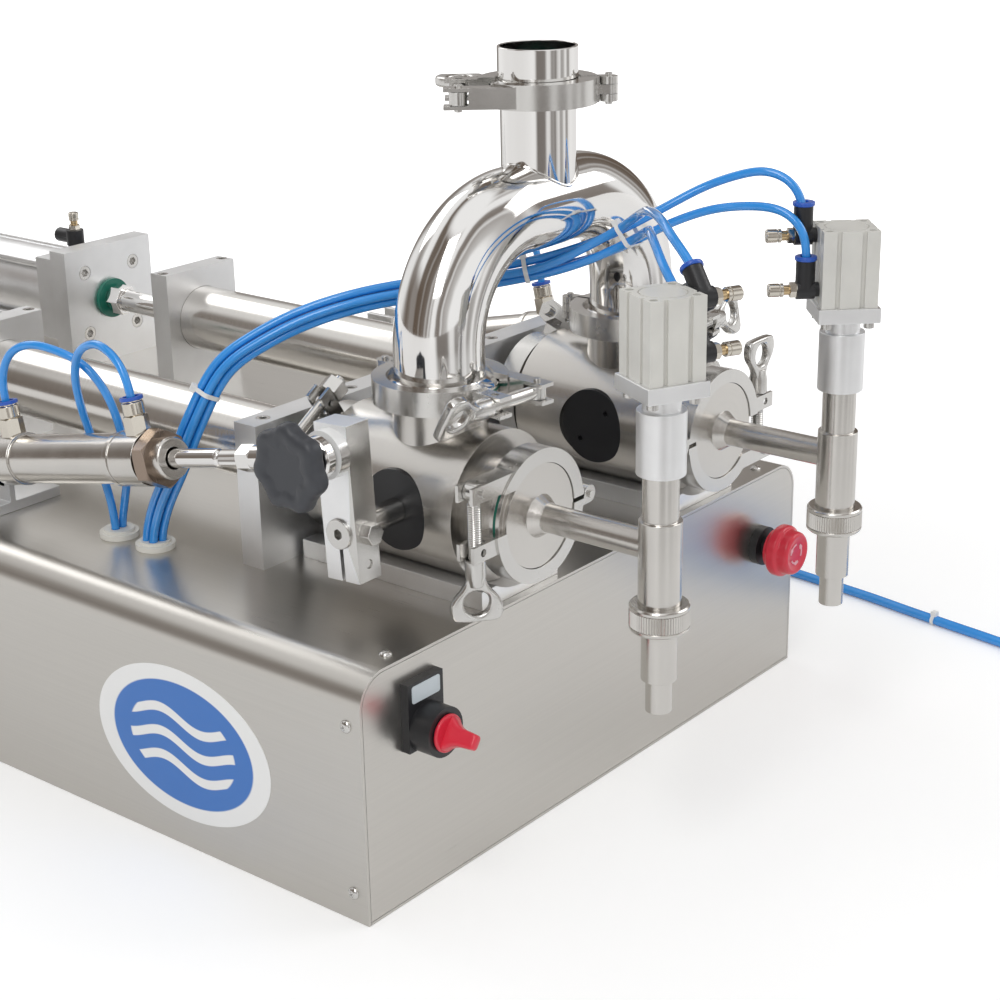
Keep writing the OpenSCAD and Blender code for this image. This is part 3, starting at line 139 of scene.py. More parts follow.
SUPPLY = (
    (0.255, 0.330, 0.060), (0.275, 0.330, 0.060), (0.305, 0.326, 0.052), (0.340, 0.308, 0.030),
    (0.368, 0.276, 0.010), (0.386, 0.236, 0.004), (0.398, 0.190, 0.004), (0.402, 0.140, 0.004),
    (0.400, 0.083, 0.004), (0.396, 0.046, 0.004), (0.391, 0.004, 0.004), (0.384, -0.038, 0.004),
    (0.378, -0.078, 0.004), (0.371, -0.126, 0.004), (0.364, -0.160, 0.004), (0.362, -0.182, 0.004),
    (0.362, -0.190, 0.004),
)
COIL_LEAD = 0.008
COIL_TAIL = 0.034
COIL_RADIUS = 0.048
COIL_STEP = 0.0086
COIL_TURNS = 8
# Hose ties: a place, and the hoses that it holds
TIES = (
    ((-0.1515, 0.2215, 0.284), "bundle"),
    ((0.022, 0.084, 0.355), "bundle"),
    ((0.058, 0.023, 0.381), "bundle"),
    ((0.3805, -0.063, 0.004), "supply"),
)

# Sizes of the CAD model that the frame doesn't give
SWING = SimpleNamespace(
    collar=0.134, nut=0.143, cap=0.156, tube=0.187, rear=0.294, lug=0.314, end=0.3476, piston=0.239,
    radius=0.0175, rod=0.0065, lip=0.0015, eye=0.009, eye_half=0.0075)
KNOB = SimpleNamespace(
    inner=0.120, hub=0.011, hub_radius=0.012, thick=0.013, radius=0.029, lobe=0.009, lobes=7)
ARCH = SimpleNamespace(rise=0.1015, bend=0.076, radius=0.030, feed=0.0255, stub=0.027, stub_length=0.029)
FLANGE = SimpleNamespace(radius=0.03875, feed_radius=0.03225, thick=0.003, half_gap=0.001)
NOZZLE = SimpleNamespace(
    tee=(0.01375, -0.050, 0.0185), gland=(0.0115, 0.055), spout=(0.0115, -0.0885), tip=(0.0085, -0.1105),
    bore=0.005, nut=(0.01925, -0.0545, -0.0365))
WING = SimpleNamespace(
    hub=0.0068, hole=0.0085, hole_at=0.029, thick=0.007, edge=0.0018, bolt=0.004, bolt_length=0.038,
    outline=(
        (0.0055, 0.003), (0.0056, 0.010), (0.0068, 0.0155), (0.0098, 0.0205), (0.0142, 0.0255),
        (0.0168, 0.0310), (0.0166, 0.0365), (0.0150, 0.0405), (0.0105, 0.0415)))
WING_NUTS = range(1, 6)
LEVER = SimpleNamespace(spacer=0.0084, bolt=0.0062)
NEEDLE = SimpleNamespace(upright=0.0160, level=0.0190)
GRIP = SimpleNamespace(
    turn=math.radians(35), shaft=0.0079, disc=0.0125, disc_low=0.0223, disc_high=0.025,
    sections=(
        (0.0240, 0.0112, 0.0048), (0.0260, 0.0108, 0.0047), (0.0285, 0.0090, 0.0045),
        (0.0315, 0.0070, 0.0043), (0.0350, 0.0058, 0.0041), (0.0430, 0.0052, 0.0038),
        (0.0455, 0.0049, 0.0034), (0.0466, 0.0042, 0.0026), (0.0470, 0.0028, 0.0014)))
STOP = SimpleNamespace(
    low=0.013, rim=0.017, top=0.035, radius=0.020, dish=0.0018, arcs=3, arc_turn=1.45, arc_radius=0.0075)
BADGE = SimpleNamespace(width=0.165, height=0.110, from_front=0.163, middle_z=0.077)
PLATE = SimpleNamespace(out=0.0065, over=0.0252, wide=0.0130, tall=0.0058, ease=0.0016)

# What metals see round them: (place, level) stops, from dark gaps to white
GAP_TONE = (0.125, 0.092, 0.068)
STUDIO_GAPS = (
    (0.00, 1.00), (0.05, 1.00), (0.08, 0.55), (0.14, 0.35), (0.16, 0.80), (0.19, 0.12), (0.24, 0.18),
    (0.27, 0.95), (0.33, 1.00), (0.36, 0.40), (0.39, 0.75), (0.42, 0.14), (0.47, 0.45), (0.50, 0.08),
    (0.59, 0.03), (0.62, 0.28), (0.65, 0.04), (0.73, 0.06), (0.765, 0.95), (0.85, 1.00), (0.89, 0.50),
    (0.93, 0.25), (0.97, 0.90))
FLOOR_GAPS = (
    (0.00, 0.95), (0.08, 0.95), (0.10, 0.05), (0.16, 0.05), (0.18, 0.80), (0.20, 0.75), (0.215, 0.10),
    (0.235, 0.18), (0.25, 0.02), (0.265, 0.55), (0.285, 0.80), (0.30, 0.20), (0.32, 0.35), (0.335, 0.90),
    (0.345, 0.90), (0.36, 0.25), (0.375, 0.25), (0.39, 0.95), (0.62, 0.95), (0.655, 0.10), (0.69, 0.10),
    (0.72, 0.95), (1.00, 0.95))


def tint(name, description, default):
    return FloatVectorProperty(name=name, description=description, subtype="COLOR", default=default)


def angle(name, description, degrees):
    return FloatProperty(name=name, description=description, subtype="ANGLE", default=math.radians(degrees))


def length(name, description, default):
    return FloatProperty(name=name, description=description, unit="LENGTH", default=default)


def power(name, description, default):
    return FloatProperty(name=name, description=description, unit="POWER", default=default)


class StageSettings(bpy.types.PropertyGroup):
    """Camera, floor and light."""

    camera_place: FloatVectorProperty(
        name="Camera", description="Where the camera stands", subtype="TRANSLATION", unit="LENGTH",
        default=(-1.0304, -1.3249, 0.6817))
    camera_azimuth: angle("Azimuth", "Turn of the view; 0 looks along +Y", -50.733)
    camera_elevation: angle("Elevation", "Height of the view above the horizon", 20.27)
    camera_roll: angle("Roll", "Turn of the picture about the line of sight", -1.061)
    camera_lens: FloatProperty(
        name="Lens", description="Focal length on a 36 mm sensor, in millimetres", default=71.82)
    floor_colour: tint("Floor", "Colour of the floor", (0.93, 0.93, 0.93))
    sky_level: FloatProperty(name="Sky", description="Light from all round", default=0.66)
    key_power: power("Key light", "Power of the large lamp over the left", 24)
    fill_power: power("Fill lights", "Power of the lamps over the right and behind", 12)


class FinishSettings(bpy.types.PropertyGroup):
    """Colours of the finishes."""

    sheet: tint("Sheet steel", "Brushed sheet of the base", (0.62, 0.60, 0.565))
    turned: tint("Turned steel", "Valves and nozzles", (0.64, 0.62, 0.59))
    polished: tint("Polished steel", "Inlet pipe and rods", (0.80, 0.79, 0.775))
    cast: tint("Cast steel", "Clamps and wing nuts", (0.66, 0.65, 0.63))
    aluminium: tint("Aluminium", "Blocks, plates and levers", (0.83, 0.835, 0.84))
    body_grey: tint("Cylinder grey", "Coated nozzle cylinders", (0.66, 0.65, 0.61))
    black: tint("Black plastic", "Valve cores and switches", (0.016, 0.016, 0.018))
    slate: tint("Knob plastic", "Star knobs", (0.045, 0.048, 0.056))
    red: tint("Red plastic", "Selector and stop button", (0.70, 0.022, 0.05))
    hose: tint("Hose blue", "Air hoses", (0.028, 0.30, 0.80))
    collar: tint("Collar blue", "Release collars of the fittings", (0.02, 0.10, 0.50))
    nickel: tint("Nickel", "Plated fittings", (0.66, 0.62, 0.55))
    brass: tint("Brass", "Needles of the speed controllers", (0.60, 0.45, 0.26))
    bronze: tint("Bronze tint", "Nuts of the swing cylinders", (0.33, 0.26, 0.21))
    cream: tint("Cream rubber", "Hose grommets", (0.80, 0.78, 0.72))
    green: tint("Green rubber", "Gaskets and rod seals", (0.008, 0.16, 0.11))
    white: tint("White plastic", "Hose ties, spacer rings and the badge's rim", (0.84, 0.84, 0.83))
    plate: tint("Legend plate", "Bare plate over the selector", (0.62, 0.68, 0.72))
    marks: tint("Raised marks", "Arcs on the stop button", (0.82, 0.42, 0.46))
    badge: tint("Badge blue", "Field of the badge", (0.025, 0.16, 0.52))


class DetailSettings(bpy.types.PropertyGroup):
    """Small sizes of the pieces made here."""

    edge: length("Broken edges", "Chamfer on machined edges", 0.0006)
    knurl_count: IntProperty(name="Knurl", description="Teeth round a nozzle nut", default=66)
    thread_pitch: length("Thread pitch", "Pitch of the swing rods' threads", 0.0015)
    tie_width: length("Hose tie", "Width of the ties on the hoses", 0.003)


def stage_settings():
    return bpy.context.scene.filler_stage


def colours():
    return bpy.context.scene.filler_finish


def details():
    return bpy.context.scene.filler_detail


# Shaders


class Socket:
    """A shader value that takes part in plain maths."""

    def __init__(self, finish, socket):
        self.finish = finish
        self.socket = socket

    def maths(self, operation, a, b=0.0):
        return self.finish.node("ShaderNodeMath", {"operation": operation}, {0: a, 1: b})

    def __add__(self, other):
        return self.maths("ADD", self, other)

    def __radd__(self, other):
        return self.maths("ADD", other, self)

    def __sub__(self, other):
        return self.maths("SUBTRACT", self, other)

    def __rsub__(self, other):
        return self.maths("SUBTRACT", other, self)

    def __mul__(self, other):
        return self.maths("MULTIPLY", self, other)

    def __truediv__(self, other):
        return self.maths("DIVIDE", self, other)

    def __pow__(self, other):
        return self.maths("POWER", self, other)

    def __abs__(self):
        return self.maths("ABSOLUTE", self)

    def over(self, edge, soft):
        """0 below edge and 1 above edge + soft."""
        return self.finish.node(
            "ShaderNodeMapRange", {"interpolation_type": "SMOOTHSTEP"},
            {"Value": self, "From Min": edge, "From Max": edge + soft})


class Finish:
    """A material, or the world, whose nodes are written as expressions."""

    def __init__(self, name, owner=None):
        self.owner = owner or bpy.data.materials.new(name)
        self.owner.use_nodes = True
        self.tree = self.owner.node_tree
        self.shader = self.tree.nodes.get("Principled BSDF")

    def node(self, kind, settings=None, inputs=None, output=0):
        made = self.tree.nodes.new(kind)
        for key, value in (settings or {}).items():
            if key == "stops":
                self.set_stops(made.color_ramp, value)
            else:
                setattr(made, key, value)
        for key, value in (inputs or {}).items():
            self.feed(made.inputs[key], value)
        return Socket(self, made.outputs[output])

    def set_stops(self, ramp, stops):
        while len(ramp.elements) < len(stops):
            ramp.elements.new(1.0)
        for element, (place, level) in zip(ramp.elements, stops):
            element.position = place
            element.color = (level, level, level, 1)

    def feed(self, socket, value):
        if isinstance(value, Socket):
            self.tree.links.new(value.socket, socket)
        elif socket.type == "RGBA" and len(value) == 3:
            socket.default_value = (*value, 1)
        else:
            socket.default_value = value

    def shade(self, **sockets):
        """Sets the shader's sockets: base_color, roughness, metallic and so on."""
        for key, value in sockets.items():
            self.feed(self.shader.inputs[key.replace("_", " ").title()], value)
        return self.owner

    def rays(self, *kinds):
        """Light Path's answers for kinds of ray."""
        outputs = self.node("ShaderNodeLightPath").socket.node.outputs
        return [Socket(self, outputs[f"Is {kind} Ray"]) for kind in kinds]

    def place(self):
        return self.node("ShaderNodeTexCoord", output="Object")

    def stretched(self, scale, centre=(0, 0, 0)):
        """Object coordinates about a centre, times a scale for each axis."""
        moved = self.node(
            "ShaderNodeVectorMath", {"operation": "SUBTRACT"}, {0: self.place(), 1: centre})
        return self.node("ShaderNodeMapping", None, {"Vector": moved, "Scale": scale})

    def parts(self, vector):
        """The x, y and z of a vector."""
        split = self.node("ShaderNodeSeparateXYZ", None, {0: vector}).socket.node
        return [Socket(self, split.outputs[k]) for k in range(3)]

    def joined(self, x, y, z):
        return self.node("ShaderNodeCombineXYZ", None, {0: x, 1: y, 2: z})

    def noise(self, vector, scale=1.0, detail=2.0, rough=0.5):
        return self.node(
            "ShaderNodeTexNoise", None,
            {"Vector": vector, "Scale": scale, "Detail": detail, "Roughness": rough})

    def mixed(self, share, a, b):
        """Colour a where share is 0, colour b where it is 1."""
        a, b = (end if isinstance(end, Socket) else (*end, 1) for end in (a, b))
        return self.node("ShaderNodeMix", {"data_type": "RGBA"}, {0: share, 6: a, 7: b}, 2)

    def bump(self, height, strength, distance):
        return self.node(
            "ShaderNodeBump", None, {"Height": height, "Strength": strength, "Distance": distance})


def scaled(colour, share):
    return tuple(min(1.0, c * share) for c in colour)


def brushed(name, colour, rough, grain):
    """Brushed metal; grain holds how fast the scratches change along x, y and z."""
    f = Finish(name)
    scratch = f.noise(f.stretched(grain), 1.0, 4.0, 0.65)
    cloud = f.noise(f.place(), 7.0, 3.0, 0.5)
    tone = scratch * 0.75 + cloud * 0.25
    return f.shade(
        base_color=f.mixed(tone, scaled(colour, 0.92), scaled(colour, 1.07)),
        metallic=1.0,
        roughness=rough + (scratch - 0.5) * 0.08 + (cloud - 0.5) * 0.08,
        normal=f.bump(scratch, 0.05, 0.0003))


def turned(name, colour, rough, rings):
    """Metal turned about the filling axes: rings round the barrels and on the end faces."""
    f = Finish(name)
    x, y, z = f.parts(f.place())
    beside = abs(x - ROW_MIDDLE) - ROW_HALF
    radius = (beside * beside + (z - AXIS_Z) ** 2.0) ** 0.5
    groove = f.noise(f.joined(radius * rings, y * rings, 0.0), 1.0, 3.0, 0.6)
    cloud = f.noise(f.place(), 18.0, 2.0, 0.5)
    return f.shade(
        base_color=f.mixed(groove * 0.7 + cloud * 0.3, scaled(colour, 0.85), scaled(colour, 1.12)),
        metallic=1.0,
        roughness=rough + (groove - 0.5) * 0.14,
        normal=f.bump(groove, 0.12, 0.0002))


def polished(name, colour, rough=0.05):
    f = Finish(name)
    wave = f.noise(f.place(), 22.0, 2.0, 0.4)
    haze = f.noise(f.place(), 90.0, 4.0, 0.6)
    return f.shade(
        base_color=colour, metallic=1.0, roughness=rough + haze * 0.05,
        normal=f.bump(wave, 0.04, 0.004))


def tumbled(name, colour, rough, grain=900.0):
    """Metal with a fine even surface, from casting, blasting or milling."""
    f = Finish(name)
    speck = f.noise(f.place(), grain, 3.0, 0.6)
    cloud = f.noise(f.place(), 35.0, 3.0, 0.5)
    return f.shade(
        base_color=f.mixed(cloud, scaled(colour, 0.90), scaled(colour, 1.08)),
        metallic=1.0,
        roughness=rough + (cloud - 0.5) * 0.16 + (speck - 0.5) * 0.08,
        normal=f.bump(speck, 0.10, 0.0002))


def moulded(name, colour, rough, grain=1400.0, relief=0.10, coat=0.0):
    """Plastic or rubber with a faint moulded texture."""
    f = Finish(name)
    speck = f.noise(f.place(), grain, 2.0, 0.5)
    cloud = f.noise(f.place(), 45.0, 3.0, 0.5)
    return f.shade(
        base_color=f.mixed(cloud, scaled(colour, 0.88), scaled(colour, 1.10)),
        roughness=rough + (cloud - 0.5) * 0.12,
        coat_weight=coat,
        normal=f.bump(speck, relief, 0.0002))


def badge_finish(name, middle, width, height, field, rim):
    """A printed plate on the base's left side: a pale rim, a coloured field and three plain waves."""
    f = Finish(name)
    _, y, z = f.parts(f.stretched((1, 2 / width, 2 / height), middle))
    reach = (y * y + z * z) ** 0.5
    inside = 1 - reach.over(0.80, 0.02)
    waves = None
    for level in (-0.32, 0.0, 0.32):
        sway = f.node("ShaderNodeMath", {"operation": "SINE"}, {0: y * 7.0})
        line = 1 - abs(z - level - sway * 0.09).over(0.055, 0.015)
        waves = line if waves is None else waves + line
    kept = waves * (1 - reach.over(0.60, 0.02))
    print_mark = inside * (1 - kept)
    cloud = f.noise(f.place(), 60.0, 2.0, 0.5)
    return f.shade(
        base_color=f.mixed(print_mark, rim, field), roughness=0.30 + cloud * 0.12, coat_weight=0.4)


MATERIALS = SimpleNamespace()


def make_materials():
    c = colours()
    lengthwise = (700.0, 5.0, 700.0)
    crosswise = (5.0, 700.0, 700.0)
    vars(MATERIALS).update(
        sheet=brushed("brushed_sheet", c.sheet, 0.30, lengthwise),
        panel=brushed("brushed_panel", c.sheet, 0.30, crosswise),
        turned=turned("turned_steel", c.turned, 0.24, 900.0),
        tube=turned("drawn_tube", scaled(c.turned, 1.05), 0.17, 500.0),
        polished=polished("polished_steel", c.polished),
        satin=tumbled("satin_steel", c.turned, 0.22),
        cast=tumbled("cast_steel", c.cast, 0.24, 500.0),
        screw=tumbled("plain_screw_steel", c.cast, 0.22),
        aluminium=tumbled("milled_aluminium", scaled(c.aluminium, 1.10), 0.38),
        anodised=tumbled("anodised_aluminium", scaled(c.aluminium, 1.04), 0.42),
        body_grey=moulded("coated_grey", c.body_grey, 0.36, 900.0, 0.05, 0.15),
        black=moulded("black_plastic", c.black, 0.36),
        slate=moulded("slate_plastic", c.slate, 0.42, 1100.0, 0.14),
        red=moulded("red_plastic", c.red, 0.30, coat=0.3),
        hose=moulded("blue_hose", c.hose, 0.16, 600.0, 0.02, 0.8),
        nickel=tumbled("nickel_plate", c.nickel, 0.16),
        brass=tumbled("brass", c.brass, 0.22),
        bronze=tumbled("bronze_tint", c.bronze, 0.26),
        cream=moulded("cream_rubber", c.cream, 0.45),
        green=moulded("green_rubber", c.green, 0.35),
        white=moulded("white_plastic", c.white, 0.38),
        pale=moulded("pale_plate", c.plate, 0.30),
        rose=moulded("raised_marks", c.marks, 0.35),
        lever=tumbled("milled_lever", scaled(c.aluminium, 1.10), 0.36, 600.0),
        mount=tumbled("bright_aluminium", scaled(c.aluminium, 1.06), 0.40),
        collar=moulded("blue_collar", c.collar, 0.30, coat=0.3),
    )


# Shapes


def from_front(points):
    return [Vector((x, FRONT_Y + y, z)) for x, y, z in points]


def smooth_path(points, step=0.0025):
    """Points about a step apart on a centripetal curve through the given ones."""
    p = [points[0] * 2 - points[1], *points, points[-1] * 2 - points[-2]]
    path = []
    for a, b, c, d in zip(p, p[1:], p[2:], p[3:]):
        t0 = 0.0
        t1 = t0 + (b - a).length ** 0.5
        t2 = t1 + (c - b).length ** 0.5
        t3 = t2 + (d - c).length ** 0.5
        count = max(2, round((c - b).length / step))
        for k in range(count):
            t = t1 + (t2 - t1) * k / count
            ab = a.lerp(b, (t - t0) / (t1 - t0))
            bc = b.lerp(c, (t - t1) / (t2 - t1))
            cd = c.lerp(d, (t - t2) / (t3 - t2))
            abc = ab.lerp(bc, (t - t0) / (t2 - t0))
            bcd = bc.lerp(cd, (t - t1) / (t3 - t1))
            path.append(abc.lerp(bcd, (t - t1) / (t2 - t1)))
    path.append(points[-1].copy())
    for _ in range(8):
        path[1:-1] = [(a + b * 2 + c) / 4 for a, b, c in zip(path, path[1:], path[2:])]
    return path


def path_length(path):
    return sum((b - a).length for a, b in zip(path, path[1:]))


def way(points, i):
    return (points[min(i + 1, len(points) - 1)] - points[max(i - 1, 0)]).normalized()


def sides_of(points, side):
    """A direction across the path at each point, carried along without twist."""
    found = []
    for i in range(len(points)):
        t = way(points, i)
        side = (side - t * side.dot(t)).normalized()
        found.append(side)
    return found


def turns(count):
    """Angles evenly round a circle."""
    return [2 * math.pi * k / count for k in range(count)]


def around(a, u, v):
    """The direction at an angle from u towards v."""
    return math.cos(a) * u + math.sin(a) * v


def strand(place, count):
    """The middle line of one hose in the bundle."""
    middle = from_front(BUNDLE)
    a = math.radians(72 * place)
    return [
        middle[i] + BUNDLE_RADIUS * around(a, n, way(middle, i).cross(n))
        for i, n in list(enumerate(sides_of(middle, X)))[:count]]


def new_object(name, data):
    obj = bpy.data.objects.new(name, data)
    bpy.context.scene.collection.objects.link(obj)
    return obj


def mesh_object(name, bm, finishes):
    mesh = bpy.data.meshes.new(name)
    bm.to_mesh(mesh)
    bm.free()
    for material in finishes:
        mesh.materials.append(material)
    return new_object(name, mesh)


def hose_curve(name, path, size, material):
    curve = bpy.data.curves.new(name, "CURVE")
    curve.dimensions = "3D"
    curve.bevel_depth = size / 2
    curve.bevel_resolution = 4
    curve.use_fill_caps = True
    spline = curve.splines.new("POLY")
    spline.points.add(len(path) - 1)
    for point, p in zip(spline.points, path):
        point.co = (*p, 1)
    spline.use_smooth = True
    curve.materials.append(material)
    obj = new_object(name, curve)
    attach(obj, "frame")
    return obj


def baked(obj):
    """Replaces the object's mesh by its evaluated one and drops its modifiers."""
    depsgraph = bpy.context.evaluated_depsgraph_get()
    depsgraph.update()
    mesh = bpy.data.meshes.new_from_object(
        obj.evaluated_get(depsgraph), preserve_all_data_layers=True, depsgraph=depsgraph)
    mesh.name = obj.name
    obj.modifiers.clear()
    obj.data = mesh


def body_of(node):
    return NODES[node]["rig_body"]


def seated(obj, body, nodes=()):
    """Makes a finished piece ride on a body and stand for CAD nodes."""
    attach(obj, body)
    if nodes:
        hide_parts(*nodes)


def soften(obj, sharp):
    """Even shading that stays crisp at corners over a number of degrees."""
    obj.data.set_sharp_from_angle(angle=math.radians(sharp))
    weighted = obj.modifiers.new("normals", "WEIGHTED_NORMAL")
    weighted.weight = 80
    weighted.keep_sharp = True
    baked(obj)


def skin(node, material, edge=None, segments=2, corner=46.0, parts=(), hidden=None):
    """A piece with a CAD node's shape and broken edges, which stands for the node.

    parts is a list of (test on a face's middle, material) for faces of another finish, and
    hidden is a test for faces that another piece stands for.
    """
    edge = details().edge if edge is None else edge
    bm = bmesh.new()
    bm.from_mesh(NODES[node].data)
    bmesh.ops.remove_doubles(bm, verts=bm.verts, dist=2e-6)
    if hidden:
        gone = [face for face in bm.faces if hidden(face.calc_center_median())]
        bmesh.ops.delete(bm, geom=gone, context="FACES")
    for k, (test, _) in enumerate(parts):
        for face in bm.faces:
            if test(face.calc_center_median()):
                face.material_index = k + 1
    bmesh.ops.dissolve_limit(
        bm, angle_limit=math.radians(0.6), verts=bm.verts, edges=bm.edges, delimit={"MATERIAL"})
    for face in bm.faces:
        face.smooth = True
    obj = mesh_object(f"{node}_skin", bm, [material, *(other for _, other in parts)])
    if edge > 0:
        bevel = obj.modifiers.new("edges", "BEVEL")
        bevel.width = edge
        bevel.segments = segments
        bevel.limit_method = "ANGLE"
        bevel.angle_limit = math.radians(corner)
        bevel.use_clamp_overlap = True
        bevel.miter_outer = "MITER_ARC"
        baked(obj)
    soften(obj, 50.0)
    seated(obj, body_of(node), [node])


def built(bm, name, finishes, body, nodes=(), sharp=32.0):
    """A piece from a bmesh that was made here."""
    bmesh.ops.remove_doubles(bm, verts=bm.verts, dist=1e-6)
    obj = mesh_object(name, bm, finishes)
    soften(obj, sharp)
    seated(obj, body, nodes)


def stand_in(bm, node, suffix, finishes, sharp=32.0):
    """A piece from a bmesh that was made here, which stands for a CAD node."""
    built(bm, f"{node}_{suffix}", finishes, body_of(node), [node], sharp)


def faced(bm):
    """Turns all faces outward."""
    bmesh.ops.recalc_face_normals(bm, faces=bm.faces)


def paint(node, material):
    """Gives a CAD node a finish."""
    data = NODES[node].data
    data.materials.clear()
    data.materials.append(material)


def across(axis, side):
    """Two directions across an axis, the first as near to side as can be."""
    u = (side - axis * side.dot(axis)).normalized()
    return u, axis.cross(u)


def eased(profile, ease):
    """A profile of (along, radius) points with its corners rounded."""
    points = [Vector(p) for p in profile]
    out = [points[0]]
    for a, b, c in zip(points, points[1:], points[2:]):
        before, after = b - a, c - b
        if before.angle(after) < 0.2:
            out.append(b)
            continue
        cut = min(ease, before.length * 0.45, after.length * 0.45)
        low, high = b - before.normalized() * cut, b + after.normalized() * cut
        out += [low.lerp(b, t).lerp(b.lerp(high, t), t) for t in (0.0, 0.33, 0.67, 1.0)]
    return [*out, points[-1]]


def new_face(bm, corners, finish):
    face = bm.faces.new(corners)
    face.material_index = finish
    face.smooth = True


def skinned(bm, rings, finish=0, closed=False):
    """Faces between rings of vertices; a ring of one vertex is a pole."""
    count = max(len(ring) for ring in rings)
    pairs = list(zip(rings, rings[1:]))
    if closed:
        pairs.append((rings[-1], rings[0]))
    for low, high in pairs:
        for k in range(count):
            m = (k + 1) % count
            corners = [low[k % len(low)], low[m % len(low)], high[m % len(high)], high[k % len(high)]]
            corners = list(dict.fromkeys(corners))
            if len(corners) > 2:
                new_face(bm, corners, finish)


def lathe(bm, profile, origin, axis, finish=0, count=64, side=X):
    """Turns a profile of (along, radius) points about an axis."""
    u, v = across(axis, side)
    rings = []
    for along, radius in profile:
        middle = origin + axis * along
        if radius < 1e-7:
            rings.append([bm.verts.new(middle)])
        else:
            rings.append([bm.verts.new(middle + radius * around(a, u, v)) for a in turns(count)])
    skinned(bm, rings, finish)


def rod(bm, radius, low, high, origin, axis, finish=0, ease=0.0004, count=64):
    lathe(bm, eased([(low, 0), (low, radius), (high, radius), (high, 0)], ease), origin, axis, finish, count)


def hex_nut(bm, width, low, high, origin, axis, finish=0, side=X):
    """A six-sided nut with rounded-off corners."""
    u, v = across(axis, side)
    crown = width / 2 * 1.02
    rings = [[bm.verts.new(origin + axis * low)]]
    for end, away in ((low, 1), (high, -1)):
        pair = [[], []]
        for a in turns(72):
            reach = width / 2 / math.cos((a + math.pi / 6) % (math.pi / 3) - math.pi / 6)
            way_out = around(a, u, v)
            drop = max(0.0, reach - crown) * 0.6
            pair[0].append(bm.verts.new(origin + axis * end + way_out * min(reach, crown)))
            pair[1].append(bm.verts.new(origin + axis * (end + away * (drop + 1e-5)) + way_out * reach))
        rings += pair if away == 1 else reversed(pair)
    rings.append([bm.verts.new(origin + axis * high)])
    skinned(bm, rings, finish)


def sweep(bm, path, radius, side, count, closed=False):
    """A round bar along a path."""
    rings = []
    for i, p in enumerate(path):
        t = (path[(i + 1) % len(path)] - path[i - 1]).normalized() if closed else way(path, i)
        u, v = across(t, side)
        rings.append([bm.verts.new(p + radius * around(a, u, v)) for a in turns(count)])
    skinned(bm, rings, closed=closed)


def bar(bm, outline, origin, axis, side, low, high, finish=0):
    """A straight bar with an outline of (u, v) points, which turns left seen against the axis."""
    u, v = across(axis, side)
    rings = [[bm.verts.new(origin + axis * s + u * a + v * b) for a, b in outline] for s in (low, high)]
    skinned(bm, rings, finish)
    for ring in (rings[0][::-1], rings[1]):
        new_face(bm, ring, finish)


def oblong(half_u, half_v):
    return [(-half_u, -half_v), (half_u, -half_v), (half_u, half_v), (-half_u, half_v)]


def halfway(points, k):
    """The middle of the points' span on one axis."""
    return (max(p[k] for p in points) + min(p[k] for p in points)) / 2


# Node trees that place what repeats


class Tree:
    """A geometry node tree with named inputs."""

    def __init__(self, name, **inputs):
        self.tree = bpy.data.node_groups.new(name, "GeometryNodeTree")
        face = self.tree.interface
        face.new_socket("Geometry", in_out="INPUT", socket_type="NodeSocketGeometry")
        self.keys = {
            key: face.new_socket(key.title(), in_out="INPUT", socket_type=f"NodeSocket{kind}").identifier
            for key, kind in inputs.items()}
        face.new_socket("Geometry", in_out="OUTPUT", socket_type="NodeSocketGeometry")
        outputs = self.tree.nodes.new("NodeGroupInput").outputs
        self.geometry = outputs[0]
        self.inputs = dict(zip(inputs, list(outputs)[1:]))

    def node(self, kind, settings=None, inputs=None, output=0):
        made = self.tree.nodes.new(kind)
        for key, value in (settings or {}).items():
            setattr(made, key, value)
        for key, value in (inputs or {}).items():
            for one in value if isinstance(value, list) else [value]:
                if isinstance(one, bpy.types.NodeSocket):
                    self.tree.links.new(one, made.inputs[key])
                else:
                    made.inputs[key].default_value = one
        return made.outputs[output]

    def end(self, geometry, material):
        """Closes the tree with real meshes in a finish."""
        real = self.node("GeometryNodeRealizeInstances", None, {0: geometry})
        painted = self.node("GeometryNodeSetMaterial", None, {"Geometry": real, "Material": material})
        self.tree.links.new(painted, self.tree.nodes.new("NodeGroupOutput").inputs[0])

    def run(self, obj, **values):
        """Runs the tree on an object and keeps its result as a plain mesh."""
        modifier = obj.modifiers.new(self.tree.name, "NODES")
        modifier.node_group = self.tree
        for key, value in values.items():
            modifier[self.keys[key]] = value
        baked(obj)


def knurl_tree():
    """Teeth round a circle, joined to the piece that they stand on."""
    t = Tree(
        "knurl", place="Vector", radius="Float", height="Float", tooth="Float", count="Int",
        material="Material")
    given = t.inputs
    ring = t.node("GeometryNodeMeshCircle", None, {"Vertices": given["count"], "Radius": given["radius"]})
    tooth = t.node(
        "GeometryNodeMeshCylinder", None,
        {"Vertices": 4, "Radius": given["tooth"], "Depth": given["height"]})
    out = t.node("GeometryNodeInputPosition")
    turn = t.node("FunctionNodeAlignRotationToVector", {"axis": "X"}, {"Vector": out})
    teeth = t.node(
        "GeometryNodeInstanceOnPoints", None, {"Points": ring, "Instance": tooth, "Rotation": turn})
    moved = t.node("GeometryNodeTransform", None, {"Geometry": teeth, "Translation": given["place"]})
    t.end(t.node("GeometryNodeJoinGeometry", None, {0: [t.geometry, moved]}), given["material"])
    return t


